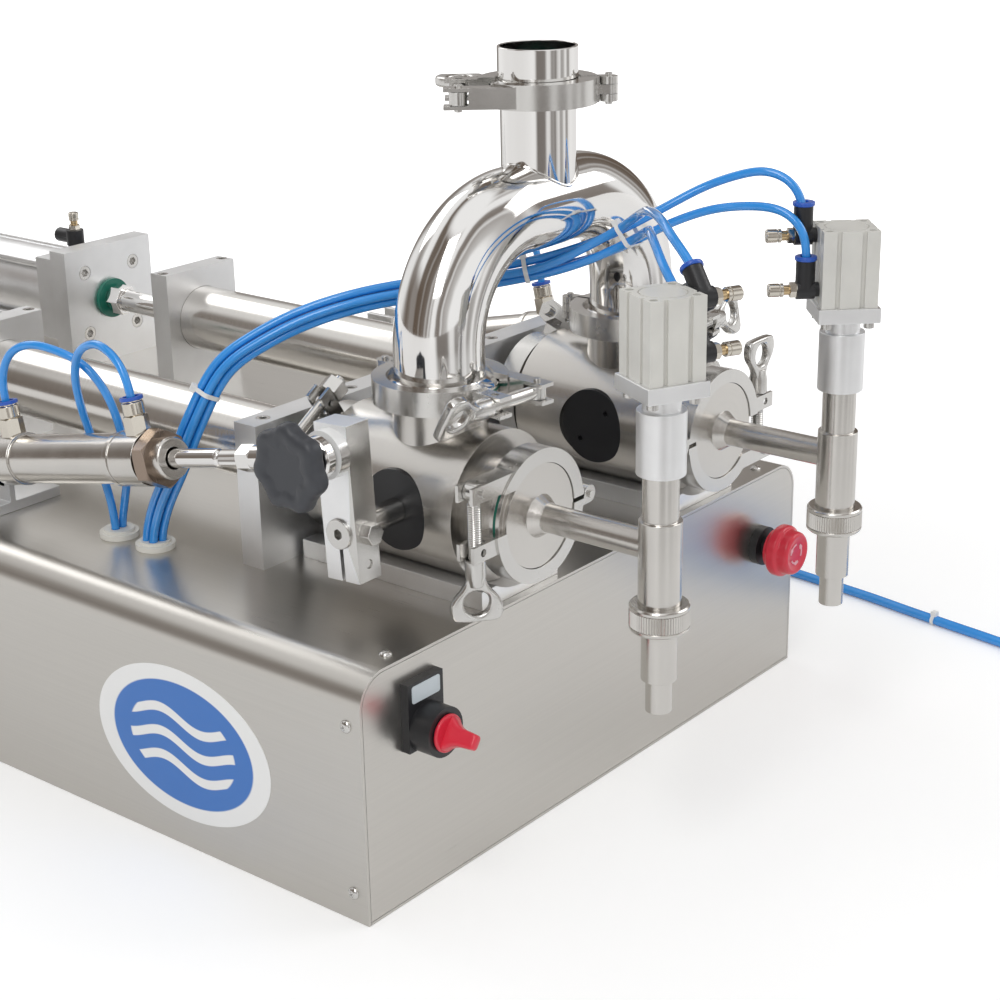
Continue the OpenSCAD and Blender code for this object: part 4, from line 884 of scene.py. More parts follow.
def scatter_tree():
    """A copy of a piece at each point, its z axis along the point's own direction."""
    t = Tree("placed_screws", piece="Object", material="Material")
    piece = t.node("GeometryNodeObjectInfo", None, {"Object": t.inputs["piece"]}, "Geometry")
    out = t.node("GeometryNodeInputNamedAttribute", {"data_type": "FLOAT_VECTOR"}, {"Name": "out"})
    turn = t.node("FunctionNodeAlignRotationToVector", {"axis": "Z"}, {"Vector": out})
    copies = t.node(
        "GeometryNodeInstanceOnPoints", None, {"Points": t.geometry, "Instance": piece, "Rotation": turn})
    t.end(copies, t.inputs["material"])
    return t


# Pieces


def make_camera():
    s = stage_settings()
    a, e, r = s.camera_azimuth, s.camera_elevation, s.camera_roll
    back = Vector((math.sin(a) * math.cos(e), -math.cos(a) * math.cos(e), math.sin(e)))
    right = (-back).cross(Z).normalized()
    up = right.cross(-back)
    across_view = right * math.cos(r) + up * math.sin(r)
    upright = up * math.cos(r) - right * math.sin(r)
    data = bpy.data.cameras.new("camera")
    data.lens = s.camera_lens
    data.sensor_width = 36
    data.clip_start = 0.01
    data.clip_end = 100
    camera = new_object("camera", data)
    camera.matrix_world = Matrix.Translation(s.camera_place) @ Matrix(
        (across_view, upright, back)).transposed().to_4x4()
    bpy.context.scene.camera = camera


def area_light(name, place, target, size, energy):
    data = bpy.data.lights.new(name, "AREA")
    data.shape = "RECTANGLE"
    data.size, data.size_y = size
    data.energy = energy
    lamp = new_object(name, data)
    lamp.location = place
    lamp.rotation_euler = (Vector(target) - Vector(place)).to_track_quat("-Z", "Y").to_euler()


def make_world():
    """Plain light all round; metals see a white studio with dark gaps that run from side to side."""
    s = stage_settings()
    world = bpy.data.worlds.new("studio")
    bpy.context.scene.world = world
    f = Finish("studio", world)
    camera, glossy, through = f.rays("Camera", "Glossy", "Transmission")
    seen = camera.maths("MAXIMUM", camera, through)
    x, y, z = f.parts(f.node("ShaderNodeTexCoord", output="Generated"))
    sway = f.noise(f.joined(x * 1.5, y * 0.4, z * 1.5), 1.0, 2.0, 0.5)
    gaps = f.node(
        "ShaderNodeValToRGB", {"stops": STUDIO_GAPS}, {0: y * 0.5 + 0.5 + (sway - 0.5) * 0.12})
    behind = y.over(0.10, 0.40)
    low_back = (1 - z.over(0.22, 0.26)) * x.over(0.15, 0.45) * y.over(-0.2, 0.6)
    low_left = (1 - z.over(0.38, 0.22)) * (0 - x).over(0.12, 0.40) * behind
    high = z.over(0.88, 0.08)
    studio = (gaps * (1 - high) + high) * (1 - low_back * 0.74) * (1 - low_left * 0.80)
    shader = f.tree.nodes["Background"]
    f.feed(shader.inputs["Color"], f.mixed(studio * glossy + (1 - glossy), GAP_TONE, (1, 1, 1)))
    f.feed(shader.inputs["Strength"], glossy + seen + (1 - glossy) * (1 - seen) * s.sky_level)


def make_stage():
    s = stage_settings()
    make_world()
    bm = bmesh.new()
    bmesh.ops.create_circle(bm, cap_ends=True, segments=64, radius=14)
    floor = mesh_object("floor", bm, [])
    floor.location.z = -0.0002
    f = Finish("pale_floor")
    camera, glossy, through = f.rays("Camera", "Glossy", "Transmission")
    x, y, _ = f.parts(f.stretched((1, 1, 1), (ROW_MIDDLE, CORE_Y, 0)))
    far = ((x * x + y * y) ** 0.5).over(0.50, 1.1)
    turn = f.node("ShaderNodeMath", {"operation": "ARCTAN2"}, {0: y, 1: x}) / (2 * math.pi) + 0.5
    gaps = f.node("ShaderNodeValToRGB", {"stops": FLOOR_GAPS}, {0: turn})
    mirrored = glossy * far
    cloud = f.noise(f.place(), 3.0, 3.0, 0.5)
    backdrop = camera.maths("MAXIMUM", camera, through) * (0.25 + far * 0.75) * 0.8
    seen_glow = f.mixed(backdrop, (0, 0, 0), (1, 1, 1))
    mirror_glow = f.mixed(gaps * 0.85, scaled(GAP_TONE, 0.55), (1, 1, 1))
    floor.data.materials.append(f.shade(
        base_color=f.mixed(mirrored, s.floor_colour, (0.04, 0.04, 0.04)), roughness=0.42 + cloud * 0.1,
        emission_color=f.mixed(mirrored, seen_glow, mirror_glow), emission_strength=1.0))
    area_light("key", (-1.9, -1.2, 2.4), (0, -0.2, 0.2), (0.9, 2.2), s.key_power)
    area_light("fill", (1.8, -1.9, 1.7), (0, -0.4, 0.2), (1.4, 1.4), s.fill_power)
    area_light("back", (0.4, 2.2, 2.2), (0, 0, 0.2), (1.8, 1.2), s.fill_power)
    bpy.context.scene.view_settings.view_transform = "Standard"


PATHS = {}


def make_hoses():
    routes = {
        name: strand(place, count) + from_front(own)
        for name, (place, count, own) in BUNDLE_HOSES.items()}
    routes.update({name: from_front(points) for name, points in SWING_HOSES.items()})
    first = None
    for name, points in routes.items():
        path = smooth_path(points)
        PATHS[name] = path
        obj = hose_curve(f"hose_{name}", path, HOSE_SIZE, MATERIALS.hose)
        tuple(path[0])
        path_length(path)
        first = first or obj
    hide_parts("control_hoses")


def coil_path():
    """The coil spirals in on the floor, climbs and spirals out again on top."""
    start = from_front(SUPPLY)[-1] - Y * COIL_LEAD
    half = COIL_TURNS / 2
    outer = COIL_RADIUS + half / 2 * COIL_STEP
    path = []
    for k in range(COIL_TURNS * 48 + 1):
        t = k / 48
        r = outer - COIL_STEP * min(t, COIL_TURNS - t)
        climb = min(max((t - half + 0.25) * 2, 0), 1)
        climb = climb * climb * (3 - 2 * climb)
        a = 2 * math.pi * t
        path.append(start + Vector((outer - r * math.cos(a), -r * math.sin(a), COIL_STEP * climb)))
    return [*path, path[-1] - Y * COIL_TAIL]


def make_supply():
    path = smooth_path(from_front(SUPPLY))
    for point in path:
        point.z = max(point.z, SUPPLY_SIZE / 2)
    PATHS["supply"] = path
    path = path + coil_path()
    hose = hose_curve("supply_hose_run", path, SUPPLY_SIZE, MATERIALS.hose)
    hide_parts("supply_hose", "supply_coil")
    paint("supply_connector", MATERIALS.nickel)
    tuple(path[0])
    path_length(path)


def hull(points):
    """The outline round points in a plane, turning left."""
    points = sorted(points)
    sides = []
    for row in (points, points[::-1]):
        side = []
        for p in row:
            while len(side) > 1 and (side[-1][0] - side[-2][0]) * (p[1] - side[-2][1]) <= (
                    side[-1][1] - side[-2][1]) * (p[0] - side[-2][0]):
                side.pop()
            side.append(p)
        sides += side[:-1]
    return sides


def tie(bm, place, paths, size):
    """A band drawn tight round the hoses that pass a place, with its head on top."""
    half, thick, head = details().tie_width / 2, 0.0009, 0.0024
    near = [min(path, key=lambda p: (p - place).length) for path in paths]
    held = [(path, path.index(p)) for path, p in zip(paths, near) if (p - place).length < 0.022]
    t = sum((way(path, i) for path, i in held), Vector()).normalized()
    u, v = across(t, Z)
    spots = []
    for path, i in held:
        beside = range(max(i - 12, 0), min(i + 12, len(path)))
        spots.append(path[min(beside, key=lambda k: abs((path[k] - place).dot(t)))] - place)
    inner, outer = (
        hull([
            (round(q.dot(u) + r * math.cos(a), 7), round(q.dot(v) + r * math.sin(a), 7))
            for q in spots for a in turns(20)])
        for r in (size / 2 + 0.0001, size / 2 + thick))
    count = len(outer)
    if len(inner) != count:
        x, y = (sum(p[k] for p in outer) / count for k in (0, 1))
        inner = [(x + (a - x) * 0.92, y + (b - y) * 0.92) for a, b in outer]
    rings = [
        [bm.verts.new(place + t * s + u * a + v * b) for a, b in ring]
        for ring, s in ((outer, -half), (outer, half), (inner, half), (inner, -half))]
    skinned(bm, rings, closed=True)
    top = max(outer)
    seat = place + u * (top[0] + 0.0008) + v * top[1]
    bar(bm, oblong(0.0019, head), seat, t, u, -head, head)


def make_ties():
    held = {
        "bundle": ([PATHS[name] for name in BUNDLE_HOSES], HOSE_SIZE),
        "supply": ([PATHS["supply"]], SUPPLY_SIZE)}
    bm = bmesh.new()
    for place, kind in TIES:
        tie(bm, from_front([place])[0], *held[kind])
    for vert in bm.verts:
        vert.co.z = max(vert.co.z, 0.0001)
    faced(bm)
    built(bm, "hose_ties", [MATERIALS.white], "frame")


def make_screws():
    """Pan heads with a thin raised cross, where the CAD model's cover screws are."""
    screw = bmesh.new()
    lathe(screw, [
        (-0.0004, 0.0), (-0.0004, 0.0043), (0.0004, 0.0043), (0.0012, 0.0039), (0.0019, 0.0030),
        (0.0023, 0.0018), (0.0024, 0.0)], Vector(), Z, count=40)
    for a in (0.4, 0.4 + math.pi / 2):
        bar(screw, oblong(0.0020, 0.0004), Vector(), Z, around(a, X, Y), 0.0021, 0.00245)
    pattern = mesh_object("screw_pattern", screw, [MATERIALS.screw])
    low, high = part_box("base_cover")
    places = []
    for island in islands("panel_screws"):
        x, y, z = (halfway(island, k) for k in range(3))
        if x < low.x + 0.01:
            places.append((Vector((low.x, y, z)), -X))
        elif x > high.x - 0.01:
            places.append((Vector((high.x, y, z)), X))
        else:
            places.append((Vector((x, y, high.z)), Z))
    mesh = bpy.data.meshes.new("panel_screw_heads")
    mesh.from_pydata([p for p, _ in places], [], [])
    out = mesh.attributes.new("out", "FLOAT_VECTOR", "POINT")
    for item, (_, way_out) in zip(out.data, places):
        item.vector = way_out
    heads = new_object("panel_screw_heads", mesh)
    scatter_tree().run(heads, piece=pattern, material=MATERIALS.screw)
    bpy.data.objects.remove(pattern)
    seated(heads, "frame", ["panel_screws"])


def make_badge():
    """A plain oval plate on the base's left side."""
    d = BADGE
    middle = Vector((LEFT_X, FRONT_Y + d.from_front, d.middle_z))
    bm = bmesh.new()
    rings = []
    for grow, lift in ((1.0, 0.0), (1.0, 0.0003), (0.985, 0.0005), (0.5, 0.0005)):
        rings.append([
            bm.verts.new(middle + Vector((
                -lift, -math.cos(a) * d.width / 2 * grow, math.sin(a) * d.height / 2 * grow)))
            for a in turns(128)])
    rings.append([bm.verts.new(middle - X * 0.0005)])
    skinned(bm, rings)
    faced(bm)
    finish = badge_finish("oval_plate", middle, d.width, d.height, colours().badge, colours().white)
    built(bm, "oval_plate", [finish], "frame")


def make_base():
    m = MATERIALS
    skin("base_cover", m.sheet, 0.0005)
    skin("front_panel", m.panel, 0.0005)
    skin("rear_panel", m.panel, 0.0005)
    paint("base_plate", m.sheet)
    skin("hose_grommets", m.cream, 0.0012, 3)
    make_screws()
    make_badge()
    skin("power_inlet", m.black, 0.0008)
    skin("air_inlet", m.nickel, 0.0006)
    paint("valve_island", m.aluminium)
    paint("control_unit", m.slate)


def wing_frame(k):
    """A wing nut's seat on its bolt, the way it points, and the way its wing spreads."""
    axis = Vector(JOINTS[f"wing_turn_{k}"]["axis"]).normalized()
    seat = Vector(JOINTS[f"wing_turn_{k}"]["pos_m"])
    u, v = across(axis, X if abs(axis.x) < 0.7 else Z)
    spots = [p.co - seat for p in NODES[f"wing_nut_{k}"].data.vertices]
    reach = [q.dot(axis) for q in spots]
    wide = [(q.dot(u), q.dot(v), q.dot(axis)) for q in spots if (q - axis * q.dot(axis)).length > 0.0125]
    way_out = 1 if sum(w for _, _, w in wide) / len(wide) > (max(reach) + min(reach)) / 2 else -1
    spread = math.atan2(sum(2 * a * b for a, b, _ in wide), sum(a * a - b * b for a, b, _ in wide)) / 2
    base = min(reach) if way_out == 1 else max(reach)
    return seat + axis * base, axis * way_out, around(spread, u, v)


def make_wing_nut(k):
    """A cast nut whose neck flares into a flat wing with a round hole."""
    d = WING
    seat, out, wide = wing_frame(k)
    thick = out.cross(wide)
    hole = seat + out * d.hole_at
    flank = [Vector((x, y, 0)) for x, y in d.outline]
    flank = [Vector((0, flank[0].y, 0)), *flank, Vector((0, flank[-1].y + 0.0004, 0))]
    ring = [Vector((q.x, q.y)) - Vector((0, d.hole_at)) for q in smooth_path(flank, 0.0008)]
    ring += [Vector((-q.x, q.y)) for q in ring[-2:0:-1]]
    inner = [q.normalized() * d.hole for q in ring]
    edge, half = d.edge, d.thick / 2
    layers = (
        (ring, 0, edge - half), (ring, 0, half - edge), (ring, -0.25 * edge, half - 0.4 * edge),
        (ring, -edge, half), (inner, edge, half), (inner, 0.25 * edge, half - 0.4 * edge),
        (inner, 0, half - edge), (inner, 0, edge - half), (inner, 0.25 * edge, 0.4 * edge - half),
        (inner, edge, -half), (ring, -edge, -half), (ring, -0.25 * edge, 0.4 * edge - half))
    bm = bmesh.new()
    rings = []
    for points, grow, depth in layers:
        grown = [q + q.normalized() * grow for q in points]
        rings.append([bm.verts.new(hole + wide * q.x + out * q.y + thick * depth) for q in grown])
    skinned(bm, rings, closed=True)
    lathe(bm, eased([
        (0, 0.0042), (0, d.hub), (0.010, d.hub), (0.018, d.hub - 0.0016), (0.018, 0)], 0.0008), seat, out)
    faced(bm)
    stand_in(bm, f"wing_nut_{k}", "cast", [MATERIALS.cast], 45.0)


def make_threads():
    """Threads on the eye bolts, between the clamps' ears."""
    d, pitch = WING, details().thread_pitch
    bm = bmesh.new()
    for k in WING_NUTS:
        seat, out, _ = wing_frame(k)
        ridges = [
            (-d.bolt_length + i * pitch / 2, d.bolt + (0.0005 if i % 2 else -0.0002))
            for i in range(int(2 * d.bolt_length / pitch))]
        lathe(bm, [(-d.bolt_length, 0.0), *ridges, (0, d.bolt)], seat, out, count=32)
    built(bm, "clamp_threads", [MATERIALS.screw], "frame")


def make_valves():
    m = MATERIALS
    skin("valve_plates", m.aluminium, 0.0008)
    skin("valve_bodies", m.turned, 0.0008)
    for n in ROWS:
        skin(f"valve_core_{n}", m.black, 0.0012, 3)
    skin("outlet_covers", m.turned, 0.0006)
    skin("ferrule_gaskets", m.green, 0)
    skin("clamp_bands", m.cast, 0.0010, 3)
    skin("clamp_bolts", m.screw, 0.0006)
    make_threads()
    for k in WING_NUTS:
        make_wing_nut(k)


def make_pipe():
    """Two elbows and the run between them, the feed pipe with its weld, the ferrules and the open stub."""
    a, f = ARCH, FLANGE
    top = INLET_Z + a.rise
    face, back = f.half_gap, f.half_gap + f.thick
    bm = bmesh.new()
    path = []
    for sign in (-1, 1):
        end = Vector((ROW_MIDDLE + sign * ROW_HALF, CORE_Y, INLET_Z + face))
        turn = Vector((end.x - sign * a.bend, CORE_Y, top - a.bend))
        leg = [end, end.lerp(Vector((end.x, end.y, turn.z)), 0.5)]
        bend = [turn + a.bend * around(t, sign * X, Z) for t in (math.pi / 2 * k / 24 for k in range(25))]
        path += leg + bend if sign == -1 else (leg + bend)[::-1]
    sweep(bm, path, a.radius, Y, 96)
    foot = Vector((ROW_MIDDLE, CORE_Y, 0))
    lathe(bm, [(top + 0.012, a.feed), (FEED_Z - face, a.feed)], foot, Z, count=96)
    weld = []
    for t in turns(96):
        x, y = (a.feed + 0.0004) * math.cos(t), (a.feed + 0.0004) * math.sin(t)
        weld.append(foot + Vector((x, y, top + math.sqrt(a.radius ** 2 - y * y))))
    sweep(bm, weld, 0.0011, Z, 10, closed=True)
    ferrules = (
        (-ROW_HALF, INLET_Z, 1, f.radius, a.radius), (0, FEED_Z, 1, f.feed_radius, a.stub),
        (0, FEED_Z, -1, f.feed_radius, a.feed), (ROW_HALF, INLET_Z, 1, f.radius, a.radius))
    for x, level, side, radius, neck in ferrules:
        lathe(bm, eased([
            (face, neck - 0.003), (face, radius), (back - 0.001, radius), (back, radius - 0.002),
            (back + 0.002, neck + 0.0005), (back + 0.004, neck - 0.0005)], 0.0005),
            foot + Vector((x, 0, level)), Z * side, count=96)
    inner, low, high = a.stub - 0.002, FEED_Z - 0.02, FEED_Z + a.stub_length
    lathe(bm, eased([
        (FEED_Z + face, a.stub), (high, a.stub), (high, inner), (low, inner), (low, 0)], 0.0006),
        foot, Z, count=96)
    stand_in(bm, "inlet_pipe", "arch", [MATERIALS.polished])


def make_pumps():
    m = MATERIALS
    skin("pump_tubes", m.tube, 0.0005)
    skin("support_blocks", m.anodised, 0.0007)
    skin("cap_screws", m.screw, 0.0004)
    skin("drive_caps", m.anodised, 0.0010)
    skin("drive_barrels", m.aluminium, 0.0004)
    skin("rod_seals", m.green, 0.0005)
    for n in ROWS:
        skin(f"piston_{n}", m.polished, 0.0005)


def outward(n):
    """From a row's filling axis towards its lever."""
    return -X if n == 1 else X


def middle_of(joint):
    """The middle of a joint's range, in metres or radians."""
    if "range_m" in JOINTS[joint]:
        return sum(JOINTS[joint]["range_m"]) / 2
    return math.radians(sum(JOINTS[joint]["range_deg"]) / 2)


def make_swing(n):
    """The swing cylinder and its rod; sizes run back from the rod pin along the cylinder."""
    m, d = MATERIALS, SWING
    axis = Vector(JOINTS[f"cylinder_slide_{n}"]["axis"])
    pin = Vector(JOINTS[f"rod_swing_{n}"]["pos_m"])
    up = X.cross(axis)
    start = pin - axis * middle_of(f"cylinder_slide_{n}")
    r, lip, groove = d.radius, d.radius + d.lip, d.radius + 0.0006
    bm = bmesh.new()
    lathe(bm, eased([
        (d.collar + 0.004, d.rod + 0.0002), (d.collar, d.rod + 0.0012), (d.collar, r - 0.0040),
        (d.collar + 0.0015, r - 0.003), (d.cap, r - 0.003), (d.cap, lip), (d.tube - 0.006, lip),
        (d.tube - 0.006, groove), (d.tube - 0.0045, groove), (d.tube - 0.0045, lip), (d.tube, lip),
        (d.tube, r), (d.rear, r), (d.rear, lip), (d.lug, lip), (d.lug, 0)], 0.0005), start, axis, count=80)
    hex_nut(bm, 2 * r + 0.001, d.nut, d.cap - 0.001, start, axis, 1)
    lug = -(d.end - d.lug) - 0.001
    arc = [(d.eye * math.sin(t), -d.eye * math.cos(t)) for t in (math.pi * k / 16 for k in range(17))]
    eye = start + axis * d.end
    bar(bm, [(lug, -d.eye), *arc, (lug, d.eye)], eye, X, axis, -d.eye_half, d.eye_half)
    rod(bm, 0.004, -0.017, 0.017, eye, X)
    for s in (d.cap + 0.009, d.rear + 0.010):
        foot = start + axis * s + up * lip
        hex_nut(bm, 0.015, -0.003, 0.011, foot, up, 2)
        lathe(bm, eased([
            (0.011, 0.0068), (0.012, 0.0075), (0.020, 0.0075), (0.0205, 0.0066), (0.0216, 0.0066),
            (0.0216, 0.0054), (0.002, 0.0054), (0.002, 0)], 0.0004), foot, up, 2, 48)
        lathe(bm, eased([
            (0.0214, 0.0054), (0.0214, 0.008), (0.024, 0.008), (0.024, 0.0054), (0.020, 0.0054)],
            0.0006), foot, up, 3, 48)
    stand_in(bm, f"swing_cylinder_{n}", "dressed", [m.satin, m.bronze, m.nickel, m.collar])
    bm = bmesh.new()
    lathe(bm, eased([
        (-0.0045, 0.0051), (-0.0045, 0.0125), (-0.003, 0.014), (0.003, 0.014), (0.0045, 0.0125),
        (0.0045, 0.0051), (-0.0045, 0.0051)], 0.0003), pin, X, side=Z)
    rod(bm, 0.0044, 0.009, 0.019, pin, axis)
    rod(bm, 0.009, 0.018, 0.054, pin, axis, ease=0.0015)
    hex_nut(bm, 0.016, 0.054, 0.066, pin, axis)
    pitch = details().thread_pitch
    thread = [(0.065, 0.0)]
    for k in range(int(0.021 / pitch)):
        thread += [(0.066 + k * pitch, 0.0050), (0.066 + (k + 0.5) * pitch, 0.0058)]
    thread += [
        (0.087, 0.0050), (0.0885, d.rod - 0.0005), (0.0895, d.rod), (d.piston, d.rod), (d.piston, 0)]
    lathe(bm, thread, pin, axis)
    stand_in(bm, f"swing_rod_{n}", "dressed", [m.polished])


def make_knob(n):
    """The lobed knob: a soft-edged star on a round neck."""
    d = KNOB
    pin = Vector(JOINTS[f"knob_turn_{n}"]["pos_m"])
    out = outward(n)
    base = Vector((ROW_X[n] + out.x * d.inner, pin.y, pin.z))
    up = Matrix.Rotation(-middle_of(f"lever_turn_{n}"), 3, "X") @ Z
    u, v = across(out, up)
    spin = turns(d.lobes * 28)
    count = len(spin)
    lobe_at = d.radius - d.lobe

    def reach(a):
        near = (a + math.pi / d.lobes) % (2 * math.pi / d.lobes) - math.pi / d.lobes
        inside = d.lobe ** 2 - (lobe_at * math.sin(near)) ** 2
        star = lobe_at * math.cos(near) + math.sqrt(inside) if inside > 0 else 0.0
        return max(d.radius - 0.003, star)

    edge = [reach(a) for a in spin]
    for _ in range(6):
        edge = [(edge[k - 1] + 2 * edge[k] + edge[(k + 1) % count]) / 4 for k in range(count)]
    low, high = d.hub, d.hub + d.thick
    bm = bmesh.new()
    lathe(bm, eased([
        (0, 0.0051), (0, d.hub_radius), (low + 0.001, d.hub_radius)], 0.0008), base, out, side=up)
    rings = [[bm.verts.new(base + out * low + r * 0.4 * around(a, u, v)) for a, r in zip(spin, edge)]]
    insets = (
        (low, 0.0042), (low + 0.0006, 0.0022), (low + 0.0018, 0.0008), (low + 0.0036, 0.0),
        (high - 0.0055, 0.0), (high - 0.0032, 0.0004), (high - 0.0016, 0.0015), (high - 0.0005, 0.0034),
        (high, 0.0062), (high - 0.0004, 0.0095), (high - 0.0013, 0.0115), (high - 0.0016, 0.0135))
    for along, inset in insets:
        rings.append([
            bm.verts.new(base + out * along + max(r - inset, 0.004) * around(a, u, v))
            for a, r in zip(spin, edge)])
    rings.append([bm.verts.new(base + out * (high - 0.0012))])
    skinned(bm, rings)
    stand_in(bm, f"star_knob_{n}", "dressed", [MATERIALS.slate], 55.0)


def make_levers():
    m = MATERIALS
    skin("pivot_brackets", m.anodised, 0.0007)
    for n in ROWS:
        arm = f"lever_arm_{n}"
        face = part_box(arm)[0 if n == 1 else 1].x
        pivot = Vector(JOINTS[f"lever_turn_{n}"]["pos_m"])
        back = Matrix.Rotation(middle_of(f"lever_turn_{n}"), 3, "X")
        front = min((back @ (v.co - pivot)).y for v in NODES[arm].data.vertices)
        skin(arm, m.lever, 0.0009, parts=[
            (lambda p: abs(p.x - face) < LEVER.spacer, m.white),
            (lambda p: (back @ (p - pivot)).y < front + LEVER.bolt, m.screw)])
        skin(f"lever_shaft_{n}", m.screw, 0.0005)
        make_knob(n)
        make_swing(n)


def islands(node):
    """The separate solids of a CAD node, each a list of its points."""
    bm = bmesh.new()
    bm.from_mesh(NODES[node].data)
    bmesh.ops.remove_doubles(bm, verts=bm.verts, dist=2e-6)
    found, left = [], dict.fromkeys(bm.verts)
    while left:
        island, front = [], [left.popitem()[0]]
        while front:
            vert = front.pop()
            island.append(vert.co.copy())
            for edge in vert.link_edges:
                other = edge.other_vert(vert)
                if other in left:
                    del left[other]
                    front.append(other)
        found.append(island)
    bm.free()
    return found


def make_fittings():
    """Black bodies; their plated needles have a lock ring, a thin neck and a head."""
    m = MATERIALS
    needles = []
    for island in islands("hose_fittings"):
        middle = sum(island, Vector()) / len(island)
        if middle.y > FRONT_Y + 0.2:
            top = max(p.z for p in island)
            rim = [p for p in island if p.z > top - 0.001]
            needles.append((Vector((halfway(rim, 0), halfway(rim, 1), top)), Z, NEEDLE.upright))
            continue
        axis = Vector((ROW_X[1] if middle.x < ROW_MIDDLE else ROW_X[2], NOZZLE_Y, 0))
        far = max((p - axis).xy.length for p in island)
        tip = [p for p in island if (p - axis).xy.length > far - 0.0016]
        level = halfway(tip, 2)
        spots = [p for p in island if abs(p.z - level) < 0.0046 and (p - axis).xy.length > far - 0.016]
        # The needle runs from the middle of its points to the middle of its end
        ends = sorted(tip, key=lambda p: p.z)
        end = (ends[0] + ends[-1]) / 2
        along = end - sum(spots, Vector()) / len(spots)
        needles.append((end, Vector((along.x, along.y, 0)).normalized(), NEEDLE.level))
    bm = bmesh.new()
    for end, out, depth in needles:
        hex_nut(bm, 0.0094, -depth, 0.0045 - depth, end, out, 0, Y if abs(out.z) > 0.5 else Z)
        rod(bm, 0.0033, 0.0044 - depth, 0.0090 - depth, end, out, 1)
        lathe(bm, eased([
            (0.0088 - depth, 0), (0.0088 - depth, 0.0046), (0.0108 - depth, 0.0046),
            (0.0108 - depth, 0.0040), (0.0116 - depth, 0.0040), (0.0116 - depth, 0.0046),
            (-0.0006, 0.0046), (0.0002, 0.0038), (0.0002, 0.0012), (-0.0008, 0.0010), (-0.0008, 0)],
            0.0003), end, out, 0, 48)
    built(bm, "controller_needles", [m.nickel, m.brass], "frame")

    def needle(p):
        for end, out, depth in needles:
            along = (p - end).dot(out)
            if along > -depth + 0.0003 and (p - end - out * along).length < 0.006:
                return True
        return False

    skin("hose_fittings", m.black, 0.0005, hidden=needle)


def make_nozzles():
    m, d = MATERIALS, NOZZLE
    skin("cylinder_mounts", m.mount, 0.0007)
    skin("nozzle_cylinders", m.body_grey, 0.0008)
    make_fittings()
    skin("fitting_collars", m.collar, 0.0008)
    tee, low, high = d.tee
    gland, gland_top = d.gland
    spout, spout_low = d.spout
    tip, tip_low = d.tip
    radius, nut_low, nut_high = d.nut
    teeth = details().knurl_count
    tooth = math.pi * radius / teeth * 0.86
    bodies = bmesh.new()
    knurl = knurl_tree()
    for n in ROWS:
        foot = Vector((ROW_X[n], NOZZLE_Y, AXIS_Z))
        lathe(bodies, eased([
            (low, 0.009), (low, tee), (high, tee), (high, gland), (gland_top, gland), (gland_top, 0)],
            0.0006), foot, Z)
        lathe(bodies, eased([
            (tip_low + 0.0065, 0), (tip_low + 0.0065, d.bore), (tip_low, d.bore), (tip_low, tip),
            (spout_low, tip), (spout_low, spout), (low - 0.003, spout), (low - 0.003, tee - 0.0003),
            (low, tee - 0.0003), (low, 0.009)], 0.0005), foot, Z)
        nut = bmesh.new()
        lathe(nut, eased([
            (nut_low, spout + 0.0001), (nut_low, radius - 0.0016), (nut_low + 0.0016, radius),
            (nut_low + 0.0030, radius), (nut_low + 0.0034, radius - tooth),
            (nut_high - 0.0034, radius - tooth), (nut_high - 0.0030, radius), (nut_high - 0.0012, radius),
            (nut_high, radius - 0.0012), (nut_high, tee + 0.0001), (nut_low + 0.006, tee + 0.0001)],
            0.0003), foot, Z, count=96)
        bmesh.ops.remove_doubles(nut, verts=nut.verts, dist=1e-6)
        node = f"nozzle_nut_{n}"
        piece = mesh_object(f"{node}_knurled", nut, [m.satin])
        knurl.run(
            piece, place=foot + Z * (nut_low + nut_high) / 2, radius=radius - tooth,
            height=nut_high - nut_low - 0.0072, tooth=tooth, count=teeth, material=m.satin)
        soften(piece, 32.0)
        seated(piece, body_of(node), [node])
        skin(f"nozzle_stem_{n}", m.polished, 0.0004)
    stand_in(bodies, "nozzle_bodies", "turned", [m.satin])


def make_stop_button():
    """A thick rounded mushroom with a dished face and three raised arcs that show which way it turns."""
    m, d = MATERIALS, STOP
    centre = Vector(JOINTS["stop_release"]["pos_m"])
    centre.y = FRONT_Y
    out = -Y
    r = d.radius
    profile = [(d.low, 0.0061), (d.low, r - 0.0052), (d.low + 0.0003, r - 0.005), (d.rim, r - 0.0048)]
    profile += [(d.rim + along, r - inset) for along, inset in (
        (0, 0.0022), (0.0006, 0.0009), (0.0018, 0.0001), (0.003, 0), (0.0065, 0), (0.0078, 0.0004),
        (0.0086, 0.0012), (0.0090, 0.0022), (0.0094, 0.0027), (0.0104, 0.0029))]
    profile += [(d.top - along, r - inset) for along, inset in (
        (0.0040, 0.0031), (0.0020, 0.0035), (0.0008, 0.0044), (0.0003, 0.0056), (0.0004, 0.0070),
        (0.0010, 0.0078), (0.0016, 0.0110))]
    bm = bmesh.new()
    lathe(bm, [*profile, (d.top - d.dish, 0)], centre, out, count=96)
    u, v = across(out, Z)
    for start in turns(d.arcs):
        rings = []
        for i in range(15):
            way_out = around(start + i / 14 * d.arc_turn, u, v)
            wide = 0.0008 if i < 9 else 0.0008 + 0.0013 * (14 - i) / 5
            rings.append([
                bm.verts.new(centre + out * (d.top - d.dish + h) + (d.arc_radius + w) * way_out)
                for w, h in ((-wide, 0.0), (-wide * 0.8, 0.0006), (wide * 0.8, 0.0006), (wide, 0.0))])
        for low, high in zip(rings, rings[1:]):
            for k in range(3):
                new_face(bm, [low[k], low[k + 1], high[k + 1], high[k]], 1)
    bmesh.ops.recalc_face_normals(bm, faces=[f for f in bm.faces if f.material_index == 0])
    stand_in(bm, "stop_button", "dressed", [m.red, m.rose], 50.0)


